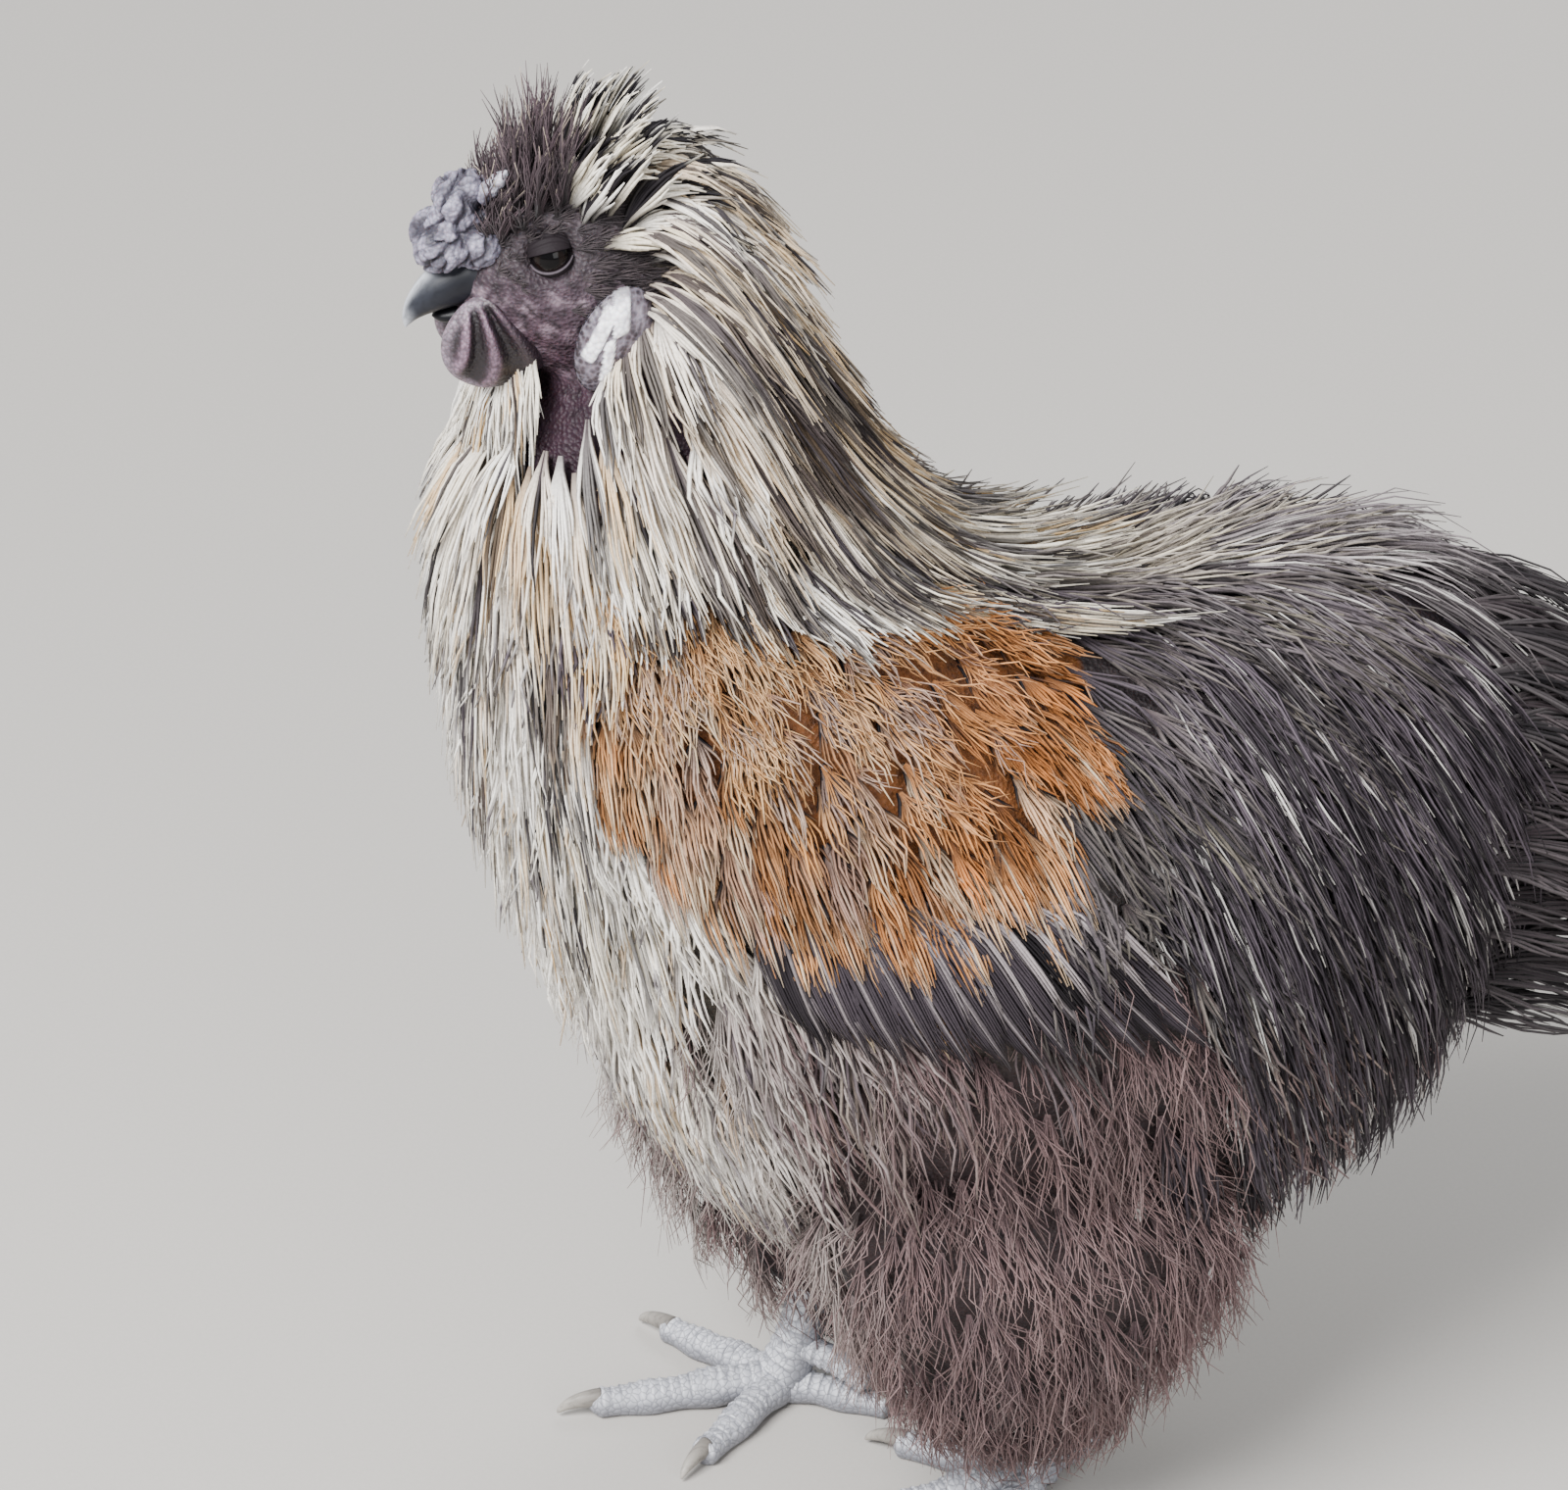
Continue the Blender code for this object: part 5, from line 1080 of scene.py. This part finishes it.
u, v = roots_on(head, 160, (0.26, 0.74), (2.0, 6.6), throat_region, 19)
place, normal = head.frame(u, v)[:2]
out = unit(normal * 0.38 + np.array([0, 0.10, -0.6]) + draw.normal(0, 0.16, normal.shape))
long = draw.uniform(0.6, 1.2, len(u)) * 23 * MM
path = arcs(place, out, long, np.array([0, 0.12, -0.7]) * long[:, None], 8)
normals = np.broadcast_to(unit(normal + np.array([0, -0.6, 0.5]))[:, None], path.shape)
grown = barbs(path, normals, draw, draw.uniform(4.5, 7.5, len(u)), count=9, rings=5, rise=2.0, belly=0.5,
              pinch=0.5, point=0.4, barb=0.75, wave=1.2, ragged=0.3, loft=2.0, root=1.6)
grow_piece("throat_feathers", grown, u, v, head, hackle_shade(grown, place, draw, 0.4),
           silky_barbs)


# Breast
# Rounder, shorter feathers run down the front and over the crop. They are white to cream with dark grey
# spots and streaks, and turn long and hairy low down between the thighs.
def breast_region(place):
    """The front above the down, off the coverts but for a strip along their lower edge."""
    y = body_yz(place)[0]
    low = down_line(place) + 22 * ease(-62, -42, y)
    covered = on_wing(place, 0.12) | (on_wing(place, 0.0) & (wing_place(place)[1] > 0))
    return ease(8, -8, low) * ease(0, -30, y) * np.where(covered, 0.0, 1.0)


def breast_shade(grown, place, draw):
    """White feathers, most with a dark spot near the end or a dark shaft streak."""
    n, q, s = len(grown["q"]), grown["q"], grown["s"]
    y, z = body_yz(place)
    light = blend(np.array(WHITE) * 1.08, CREAM, draw.uniform(0, 0.4, n))
    light = blend(light, STRAW, (draw.uniform(0, 1, n) < 0.15) * 0.6)
    light = blend(light, ASH, np.clip(ease(140, 90, z) * 0.15 + ease(-50, -25, y) * ease(185, 150, z), 0, 1))
    flank = ease(-74, -50, y + 0.25 * (z - 150)) * ease(200, 170, z)
    light = blend(light, blend(SLATE, FLUFF, 0.75), flank * draw.uniform(0.6, 1.0, n))[:, None, None]
    centre = draw.uniform(0.6, 0.9, (n, 1, 1))
    cluster = ease(0.0, 0.5, rumple(place, 15 * MM, 43))[:, None, None]
    spotted = (draw.uniform(0, 1, (n, 1, 1)) < 0.16 + 0.45 * cluster) * draw.uniform(0.7, 1.3, (n, 1, 1))
    front = hump((y + 82) / 11, (z - 250) / 11)[:, None, None]
    spot = hump((s - centre) / 0.15, q / 0.9) * spotted + 1.3 * front
    streak = hump(q / 0.24) * ease(0.95, 0.7, s) * (draw.uniform(0, 1, (n, 1, 1)) < 0.2)
    shade = blend(light, SLATE, np.clip(np.maximum(spot * 1.1, streak * 0.8), 0, 1))
    # The base of each feather is painted darker, as shade under the feathers over it.
    return blend(shade, FLUFF_DARK, ease(0.3, 0.0, s) * 0.55)


draw = np.random.default_rng(31)
u, v = roots_on(trunk, 500, (0.18, 0.82), (4.6, 11.6), breast_region, 5)
place = trunk.frame(u, v)[0]
length = draw.uniform(0.85, 1.2, len(u)) * (30 + 14 * ease(150, 95, body_yz(place)[1])) * MM
path, normals = stop_short(winged, u, v, towards((0, 0.12, -0.6)), length, 8,
                           lambda at: on_wing(at, 0.1), 6 * MM)
grown = barbs(path, normals, draw, draw.uniform(8, 11, len(u)), count=9, rings=5, rise=7.0, belly=0.5,
              pinch=0.5, point=0.35, barb=1.15, wave=2.4, ragged=0.35, loft=3.5)
grow_piece("breast_feathers", grown, u, v, trunk, breast_shade(grown, place, draw),
           silky_barbs)


# Back and flanks
# Soft grey-cream feathers make a cushion over the back, and darker grey ones with light edges fill the
# flank behind and under the wing.
FAN_AT, FAN_LINE = (27, 150), (0.554, -0.832)  # middle (y, z) in millimetres and direction of the flights
FAN_HALF_LENGTH, FAN_HALF_WIDTH = 30, 14  # millimetres


def off_middle(place):
    """How far places are to either side of the bird's middle, in millimetres."""
    return np.abs(place[..., 0]) / MM


def flight_fan(place):
    """True in the oval of the flight feathers that show behind and below the coverts."""
    y, z = body_yz(place)
    along = FAN_LINE[0] * (y - FAN_AT[0]) + FAN_LINE[1] * (z - FAN_AT[1])
    across = FAN_LINE[0] * (z - FAN_AT[1]) - FAN_LINE[1] * (y - FAN_AT[0])
    return (along / FAN_HALF_LENGTH) ** 2 + (across / FAN_HALF_WIDTH) ** 2 < 1


def back_region(place):
    """The back and flank behind the breast, above the down and off the coverts and flights."""
    coverts = on_wing(place, 0.0) & (wing_place(place)[0] < 0.74)
    flights = flight_fan(place) & (np.abs(place[..., 0]) > 40 * MM)
    return (ease(-50, -30, body_yz(place)[0]) * ease(-4, -18, down_line(place))
            * np.where(coverts | flights, 0.0, 1.0))


def back_shade(grown, place, draw):
    """Cream to ash on top, charcoal down the flank, with darker shafts."""
    n, q, s = len(grown["q"]), grown["q"], grown["s"]
    y, z = body_yz(place)
    light = blend(CREAM, ASH, draw.uniform(0.0, 0.7, n))
    dark = blend(SOOT, SLATE, draw.uniform(0.1, 1.1, n))
    dark = blend(dark, FLUFF, ease(172, 145, z) * draw.uniform(0.4, 1.0, n))
    top = ease(13, 5, off_middle(place)) * ease(90, 60, y) * ease(-30, 10, y)
    light = blend(light, dark, (1 - top) * draw.uniform(0.75, 1.0, n))[:, None, None]
    shade = blend(light, dark[:, None, None], hump(q / 0.35) * 0.7 * ease(1.0, 0.8, s))
    # The base of each feather is painted darker, as shade under the feathers over it.
    return blend(shade, FLUFF_DARK, ease(0.35, 0.0, s) * 0.7)


draw = np.random.default_rng(41)
u, v = roots_on(trunk, 420, (-0.36, 0.36), (3.0, 8.6), back_region, 7)
length = draw.uniform(0.85, 1.2, len(u)) * 34 * MM
place = trunk.frame(u, v)[0]
path, normals = stop_short(winged, u, v, towards((0, 0.0, -2.2)), length, 8,
                           lambda at: on_wing(at, 0.1) | flight_fan(at), 3 * MM)
grown = barbs(path, normals, draw, draw.uniform(8, 12, len(u)), count=9, rings=5, rise=8.0, belly=0.5,
              pinch=0.4, point=0.35, barb=1.0, wave=2.4, ragged=0.4, loft=4.5)
grow_piece("back_feathers", grown, u, v, trunk, back_shade(grown, place, draw),
           down_barbs)


# Saddle
# Long narrow hackles hang from the cushion over the rump and tail's base, charcoal in the middle, with
# frayed grey-white edges.
def saddle_region(place):
    """The rump and tail's base above the vent, off the flights."""
    y, z = body_yz(place)
    return ease(22, 42, y) * ease(100, 130, z) * np.where(flight_fan(place), 0.0, 1.0)


def saddle_shade(grown, place, draw):
    """Charcoal feathers; half have bright grey-white edges, and those high on the cushion are paler."""
    n, q, s = len(grown["q"]), grown["q"], grown["s"]
    light = blend(ASH, WHITE, draw.uniform(0.3, 1.0, n))[:, None, None]
    dark = blend(SOOT, SLATE, draw.uniform(0.0, 1.1, n))
    ridge = ease(13, 5, off_middle(place))
    dark = blend(dark, ASH, ridge * draw.uniform(0.2, 0.9, n))[:, None, None]
    bright = np.where(draw.uniform(0, 1, (n, 1, 1)) < 0.55, draw.uniform(0.75, 1.0, (n, 1, 1)), 0.05)
    edge = ease(0.55, 0.75, np.abs(q - 0.15)) * bright
    return blend(dark, light, edge * ease(0.1, 0.35, s))


for side_name, side in SIDES.items():
    draw = np.random.default_rng(50 + side)
    u_span = (0.0, 0.40) if side > 0 else (0.60, 1.0)
    u, v = roots_on(trunk, 305, u_span, (1.4, 5.4), saddle_region, 9 + side)
    length = draw.uniform(0.8, 1.15, len(u)) * (40 + 24 * ease(0.40, 0.1, np.minimum(u, 1 - u))) * MM
    place = trunk.frame(u, v)[0]
    path, normals = stop_short(winged, u, v, towards((0, 0.0, -4.5)), length, 10,
                               lambda at: on_wing(at, 0.1) | flight_fan(at), 3 * MM)
    grown = barbs(path, normals, draw, draw.uniform(5.0, 8.0, len(u)), count=9, rings=6, rise=10.0, belly=0.4,
                  pinch=0.8, point=0.5, barb=0.85, wave=2.2, ragged=0.35, loft=5.0)
    grow_piece("saddle_" + side_name, grown, u, v, trunk, saddle_shade(grown, place, draw),
               silky_barbs)


# Wings
# Each folded wing is clothed in loose rust-brown coverts with pale shafts, tan and downy at the shoulder and
# longer and pointed towards the rear, over a fan of firm dark flight feathers.
ORANGE, BUFF = linear("#cb7f42"), linear("#dab58a")


def nearest_roots(side, targets):
    """(u, v) on one flank of the trunk whose wing places (a, b) are nearest the targets."""
    grid_u, grid_v = np.meshgrid(np.linspace(0.06, 0.45, 160), np.linspace(2.0, 12.0, 260))
    if side < 0:
        grid_u = 1 - grid_u
    a, b = wing_place(trunk.frame(grid_u.ravel(), grid_v.ravel())[0])
    away = (a[None] - targets[:, :1]) ** 2 * 12 + (b[None] - targets[:, 1:]) ** 2
    found = away.argmin(1)
    return grid_u.ravel()[found], grid_v.ravel()[found]


def constant_lie(direction):
    """The same lie everywhere."""
    return lambda place, normal, along_v: np.broadcast_to(np.array(direction, float), place.shape)


for side_name, side in SIDES.items():
    draw = np.random.default_rng(70 + side)
    # Flight feathers fan out below the coverts towards the tail. Each roots a little higher and further back
    # than the one before, is longer and points more to the rear.
    flights = 12
    k = np.arange(flights)
    u, v = nearest_roots(side, np.stack([0.36 + 0.033 * k, -0.40 + 0.036 * k], -1))
    length = (40 + 2.3 * k) * MM
    heading = np.stack([np.zeros(flights), 0.35 + 0.032 * k, -0.93 + 0.018 * k], -1)
    path, normals = trace(winged, u, v, lambda place, normal, along_v: heading, length, 9)
    normals = normals + np.array([0, -0.05, 0.0]) * k[:, None, None]
    grown = barbs(path, normals, draw, np.full(flights, 12.0), count=21, rings=8, rise=8.0, belly=0.3,
                  pinch=0.55, point=0.3, barb=0.9, wave=0.2, ragged=0.04, loft=0.2, root=1.0, arch=0.20)
    q, s = grown["q"], grown["s"]
    dark = blend(SOOT, SLATE, draw.uniform(0.0, 0.6, flights))[:, None, None]
    pale = ease(0.70, 0.90, np.abs(q)) * (0.10 + 0.10 * k)[:, None, None] + 0.45 * hump(q / 0.07)
    shade = blend(dark, np.array(ASH) * 1.3, np.clip(pale, 0, 1) * ease(0.0, 0.3, s))
    grow_piece("wing_flights_" + side_name, grown, u, v, trunk, shade, silky_barbs,
               ("wing_" + side_name,))
    # Coverts stand in rows, each overlapping the one below: small and downy above, long and pointed below.
    rows, columns = 13, 17
    row, tip_a = np.meshgrid(np.linspace(0, 1, rows), np.linspace(0.0, 0.87, columns), indexing="ij")
    n = rows * columns
    row = row.ravel() + draw.normal(0, 0.018, n)
    tip_a = tip_a.ravel() + np.repeat(np.arange(rows) % 2 * 0.03, columns) + draw.normal(0, 0.010, n)
    low, high = np.interp(tip_a, PATCH_ALONG, PATCH_LOW), np.interp(tip_a, PATCH_ALONG, PATCH_HIGH)
    lowest = ease(0.35, 0.0, row)
    length = (17 + 4 * np.clip(tip_a, 0, 1) + 4 * lowest) * draw.uniform(0.88, 1.12, n) * MM
    # A feather roots this far ahead of its tip and above it, in the wing's own shares.
    ahead, above = 5.8 * length, 17.2 * length
    a = np.maximum(tip_a - ahead, -0.05)
    b = low + above + row * np.maximum(high - low - above, 0.05)
    b = np.minimum(b, np.interp(a, PATCH_ALONG, PATCH_HIGH) - 0.06)
    u, v = nearest_roots(side, np.stack([a, b], -1))
    # Every second feather of the lowest rows is longer, so that the edge breaks into separate points.
    pointed = lowest * (np.arange(n) % columns % 2)
    length = length * (1 - 0.20 * lowest + 0.66 * pointed)
    path, normals = trace(winged, u, v, constant_lie((0, 0.34, -0.94)), length, 6)
    normals = unit(normals + draw.normal(0, 0.10, (n, 1, 3)))
    loose = ease(0.12, 0.45, row)
    wave, loft = (0.3 + 1.3 * loose)[:, None, None], (0.6 + 2.0 * loose)[:, None, None]
    grown = barbs(path, normals, draw, (8.0 + 1.0 * lowest) * draw.uniform(0.85, 1.15, n), count=11, rings=5,
                  rise=4.5, belly=0.45, pinch=0.75, point=0.45, barb=0.85, wave=wave,
                  ragged=(0.08 + 0.25 * loose)[:, None], loft=loft, root=0.4, arch=0.16)
    orange = np.clip(ease(0.45, 0.8, tip_a + 0.15 * row) + 0.9 * ease(0.45, 0.15, row), 0, 1)
    main = blend(blend(BUFF, TAN, draw.uniform(0, 1, n)), ORANGE, orange * draw.uniform(0.6, 1.0, n))
    main = blend(main, BAY, draw.uniform(0, 0.9, n) ** 1.8)
    # Burnt and greyish patches a centimetre or two across break up the rust.
    place = trunk.frame(u, v)[0]
    main = blend(main, np.array(BAY) * 0.8, 0.75 * ease(0.0, 0.28, rumple(place, 13 * MM, 47)))
    main = blend(main, ASH, 0.6 * ease(0.08, 0.3, rumple(place, 11 * MM, 52)) * ease(0.75, 0.4, tip_a))
    paler = np.clip(0.45 * lowest + 0.35 * ease(0.45, 0.1, tip_a), 0, 1)
    main = blend(main, BUFF, paler * draw.uniform(0.0, 1.0, n))
    main = blend(main, CREAM, (draw.uniform(0, 1, n) < 0.10) * 0.4)[:, None, None]
    q, s = grown["q"], grown["s"]
    shade = blend(main, CREAM, hump(q / 0.12) * 0.6 * ease(1.1, 0.7, s) * lowest[:, None, None])
    shade = blend(shade, CREAM, ease(0.72, 1.0, s) * (0.4 + 0.35 * pointed[:, None, None]))
    # Roots and side edges are painted dark: painted shade where the coverts overlap and in the gaps between
    # them.
    shade = blend(shade, SOOT, np.clip(ease(0.5, 0.1, s) * 0.7 + 0.45 * ease(0.75, 1.0, np.abs(q)), 0, 1))
    grow_piece("wing_coverts_" + side_name, grown, u, v, trunk, shade, silky_barbs)
    # Loose down softens the shoulder and the upper edge.
    keep = (row > 0.42) & (row < 0.93) & (tip_a < 0.74)
    u, v, m = u[keep], v[keep], int(keep.sum())
    path, normals = trace(winged, u, v, constant_lie((0, 0.5, -0.85)), draw.uniform(11, 19, m) * MM, 6)
    normals = unit(normals + draw.normal(0, 0.3, (m, 1, 3)))
    grown = barbs(path, normals, draw, draw.uniform(7, 11, m), count=10, rings=5, rise=7.0, belly=0.6,
                  pinch=0.2, point=0.2, barb=0.5, depth=0.5, wave=2.4, ragged=0.5, loft=4.0, root=-0.5,
                  arch=0.0)
    tone = blend(blend(BUFF, TAN, draw.uniform(0.2, 1.0, m)), ORANGE, orange[keep] * 0.6)
    tone = blend(tone, ASH, (draw.uniform(0, 1, m) < 0.25) * 0.6)[:, None, None]
    # The roots are painted dark bay, as shade beneath the coverts and down.
    shade = blend(tone, BAY, ease(0.5, 0.1, grown["s"]) * 0.8)
    grow_piece("wing_down_" + side_name, grown, u, v, trunk, shade, down_barbs)


# Tail
# A soft bunch of drooping plumes, charcoal with a brown cast and a few white streaks. A silkie's tail has
# no stiff quills, so every barb hangs loose.
draw = np.random.default_rng(81)
tiers = []
TAIL_TIERS = [  # section, plumes, spread round the tail, length and droop in millimetres
    (0.35, 18, 0.5, 44, 26), (0.7, 26, 0.47, 48, 30), (1.0, 30, 0.42, 50, 32), (1.3, 34, 0.38, 54, 38),
    (1.65, 36, 0.34, 58, 44),
]
for v_at, number, spread, reach, droop in TAIL_TIERS:
    u = (np.linspace(-spread, spread, number) + draw.uniform(-0.02, 0.02, number)) % 1.0
    v = v_at + draw.uniform(-0.15, 0.15, number)
    place, normal, _, along_v = trunk.frame(u, v)
    out = unit(normal * 0.40 - unit(along_v) * 0.70 + np.array([0, 0.55, 0.16]))
    long = reach * draw.uniform(0.75, 1.1, number) * MM
    fall = np.array([0, 0.05, -1.0]) * (droop * draw.uniform(0.7, 1.2, number) * MM)[:, None]
    line = arcs(place, out, long, fall, 10)
    facing = np.broadcast_to(unit(normal + np.array([0, 0.1, 0.8]))[:, None], line.shape)
    tiers.append((line, facing, u, v))
path, normals, u, v = (np.concatenate(values) for values in zip(*tiers))
grown = barbs(path, normals, draw, draw.uniform(13, 20, len(u)), count=16, rings=6, rise=2.0, belly=0.45,
              pinch=0.3, point=0.35, barb=1.0, wave=2.4, ragged=0.4, loft=6.0, root=0.5)
n = len(u)
tail_dark = blend(np.array(SOOT) * 0.7, FLUFF_DARK, draw.uniform(0, 0.5, n))[:, None, None]
streaked, streak_at = draw.uniform(0, 1, (n, 1, 1)) < 0.22, draw.uniform(-0.6, 0.6, (n, 1, 1))
white = streaked * hump((grown["q"] - streak_at) / 0.2) * ease(0.3, 0.6, grown["s"])
shade = blend(blend(tail_dark, ASH, 0.15 * np.abs(grown["q"]) * np.ones_like(grown["s"])), WHITE, white * 0.7)
grow_piece("tail_plumes", grown, u, v, trunk, shade, down_barbs, ("tail",))


# Thigh and belly fluff
# Loose down covers the thighs, belly and vent, mauve-brown and so soft that it hangs in tufts. It hides the
# shanks almost to the feet.
def down_tufts(form, number, u_span, v_span, keep, seed, reach):
    """Tufts of curled down that hang from a form: fine barbs that stand off on all sides of their line."""
    draw = np.random.default_rng(seed)
    u, v = roots_on(form, number, u_span, v_span, keep, seed)
    length = draw.uniform(0.7, 1.2, len(u)) * reach * MM
    path, normals = trace(form, u, v, constant_lie((0, 0.15, -1.0)), length, 7)
    normals = unit(normals + draw.normal(0, 0.35, (len(u), 1, 3)))
    grown = barbs(path, normals, draw, draw.uniform(0.8, 1.2, len(u)) * 12.0, count=16, rings=4, rise=5.0,
                  belly=0.7, pinch=0.1, point=0.2, barb=0.38, depth=0.5, wave=4.0, ragged=0.5, loft=9.0,
                  arch=0.0)
    return grown, u, v, draw


def fluff_shade(grown, draw, place):
    """Mauve-brown tufts, greyer towards the breast, with ends painted paler as light on the outer down and
    bases painted dark as shade.
    """
    n = len(grown["q"])
    lighter = ease(-20, -50, body_yz(place)[0])
    tone = blend(FLUFF, FLUFF_DARK, draw.uniform(0, 0.6, n))
    tone = blend(tone, linear("#b3aaa4"), np.clip(lighter * draw.uniform(0, 1.4, n), 0, 1))[:, None, None]
    # The tufts' outer ends are painted paler, as highlight, and their bases darker, as shade within the down.
    shade = blend(tone, linear("#a8918c"), ease(0.4, 1.0, grown["s"]) * 0.45)
    return blend(shade, FLUFF_DARK, ease(0.4, 0.0, grown["s"]) * 0.5)


for side_name, side in SIDES.items():
    thigh = thighs[side]
    grown, u, v, draw = down_tufts(thigh, 410, (0, 1), (0.3, 5.9), lambda place: 1.0, 90 + side, 21)
    grow_piece("thigh_fluff_" + side_name, grown, u, v, thigh, fluff_shade(grown, draw, thigh.frame(u, v)[0]),
               down_barbs)


def belly_region(place):
    """The belly and vent, thicker right under the flight feathers and where the breast meets the thigh."""
    y, z = body_yz(place)
    outer = ease(25, 40, off_middle(place))
    under_wing = hump((z - 142) / 10) * ease(-14, -4, y) * ease(48, 36, y) * outer
    fold = hump((y + 61) / 7, (z - 151) / 8) * outer
    return ease(-46, -32, down_line(place)) * (0.8 + 2.6 * under_wing) + 3.6 * fold


grown, u, v, draw = down_tufts(trunk, 400, (0.14, 0.86), (0.7, 8.0), belly_region, 97, 26)
grow_piece("belly_fluff", grown, u, v, trunk, fluff_shade(grown, draw, trunk.frame(u, v)[0]), down_barbs)


# Crest and head feathers
# A partial crest of pointed black and white striped feathers sweeps back from the crown, with dark mauve
# fluff standing in front of it, right behind the comb. Short soft dark feathers cover the crown and cheeks.
draw = np.random.default_rng(111)
CREST_TIERS = [  # feathers, section span, how far round, length, backward, upward and downward bend
    (56, (3.4, 4.9), 0.15, 26, 0.40, 1.0, 0.30), (60, (2.2, 4.0), 0.21, 25, 0.70, 0.75, 0.75),
    (60, (0.6, 2.8), 0.28, 19, 0.75, 0.40, 1.0),
]
tiers = []
for number, span, spread, reach, backward, upward, bend in CREST_TIERS:
    u = draw.uniform(-spread, spread, number) % 1.0
    v = draw.uniform(*span, number)
    place, normal = head.frame(u, v)[:2]
    out = unit(normal * 0.35 + np.array([0, backward, upward]) + draw.normal(0, 0.12, normal.shape))
    long = reach * draw.uniform(0.75, 1.1, number) * MM
    line = arcs(place, out, long, np.array([0, 0.18, -bend]) * long[:, None], 9)
    facing = np.broadcast_to(unit(normal + np.array([0, -0.3, 0.9]))[:, None], line.shape)
    tiers.append((line, facing, u, v))
path, normals, u, v = (np.concatenate(values) for values in zip(*tiers))
n = len(path)
grown = barbs(path, normals, draw, draw.uniform(3.6, 5.8, n), count=7, rings=6, rise=1.0, belly=0.45,
              pinch=0.85, point=0.45, barb=1.15, wave=0.8, ragged=0.12, root=1.0, loft=0.8)
light = blend(blend(WHITE, CREAM, draw.uniform(0, 1, n)), STRAW, draw.uniform(0, 0.5, n) * ease(3.5, 1.5, v))
light = light[:, None, None]
wide = draw.uniform(0.25, 0.65, (n, 1, 1)) + 0.2 * ease(2.0, 3.4, v)[:, None, None]
stripe = ease(wide + 0.1, wide - 0.1, np.abs(grown["q"] - 0.3)) * ease(1.0, 0.9, grown["s"])
shade = blend(light, SOOT, stripe * (draw.uniform(0, 1, (n, 1, 1)) < 0.85))
# The bases are painted near black, as shade beneath the overlying crest feathers.
shade = blend(shade, SOOT, ease(0.5, 0.1, grown["s"]) * 0.85)
grow_piece("crest", grown, u, v, head, shade, silky_barbs, ("crest",))

# The fluff in front stands up and leans a little over the comb.
m = 100
u = draw.uniform(-0.12, 0.12, m) % 1.0
v = draw.uniform(4.5, 6.9, m)
place, normal = head.frame(u, v)[:2]
out = unit(normal * 0.3 + np.array([0, 0.0, 1.0]) + draw.normal(0, 0.14, normal.shape))
long = draw.uniform(0.45, 1.05, m) * (19 + 7 * ease(6.6, 5.4, v)) * MM
path = arcs(place, out, long, np.array([0, 0.10, -0.1]) * long[:, None], 8)
normals = np.broadcast_to(unit(np.array([1.0, 0.3, 0.1]) + draw.normal(0, 0.5, (m, 3)))[:, None], path.shape)
grown = barbs(path, normals, draw, draw.uniform(4, 7, m), count=13, rings=4, rise=0.0, belly=0.7, pinch=0.1,
              point=0.2, barb=0.4, depth=0.5, wave=1.4, ragged=0.5, root=0.5, loft=4.0, arch=0.0)
tone = blend(linear("#352d30"), linear("#55474c"), draw.uniform(0, 1, m))[:, None, None]
pale = draw.uniform(0, 1, (m, 13, 1)) < 0.15
shade = blend(tone, linear("#cbbba6"), ease(0.5, 1.0, grown["s"]) * pale * 0.8)
# The bases are painted dark, as shade within the fluff.
grow_piece("crest_fluff", grown, u, v, head, blend(shade, SOOT, ease(0.4, 0.0, grown["s"]) * 0.6), down_barbs)


def head_region(place):
    """The crown and cheeks above the bare skin, off the eyes."""
    y, z = body_yz(place)
    line = 313 - 0.55 * (y + 95)  # bare skin below this slanting line from the comb to the earlobe
    ring = np.minimum(*(np.linalg.norm(place - EYES[side], axis=-1) for side in (1, -1))) / MM
    return ease(line - 1.5, line + 1.5, z) * ease(4.6, 6.6, ring + 0.6 * (z - 318)) * (y > -95)


draw = np.random.default_rng(121)
u, v = roots_on(head, 640, (0, 1), (0.8, 7.9), head_region, 13)
length = draw.uniform(0.8, 1.2, len(u)) * (4 + 4 * ease(-92, -70, body_yz(head.frame(u, v)[0])[0])) * MM
path, normals = trace(head, u, v, lambda place, normal, along_v: -unit(along_v) + np.array([0, 0.4, 0.25]),
                      length, 5)
grown = barbs(path, normals, draw, draw.uniform(2.2, 3.4, len(u)), count=5, rings=4, rise=1.8, belly=0.6,
              pinch=0.3, point=0.35, barb=0.36, wave=0.45, ragged=0.3, root=0.4, loft=1.2)
tone = blend(linear("#2c2629"), linear("#4a4143"), draw.uniform(0, 1, len(u)))[:, None, None]
# The bases are painted darker, as shade under the feathers over them.
shade = blend(tone, SOOT, ease(0.5, 0.0, grown["s"]) * 0.6)
grow_piece("head_feathers", grown, u, v, head, shade, down_barbs)
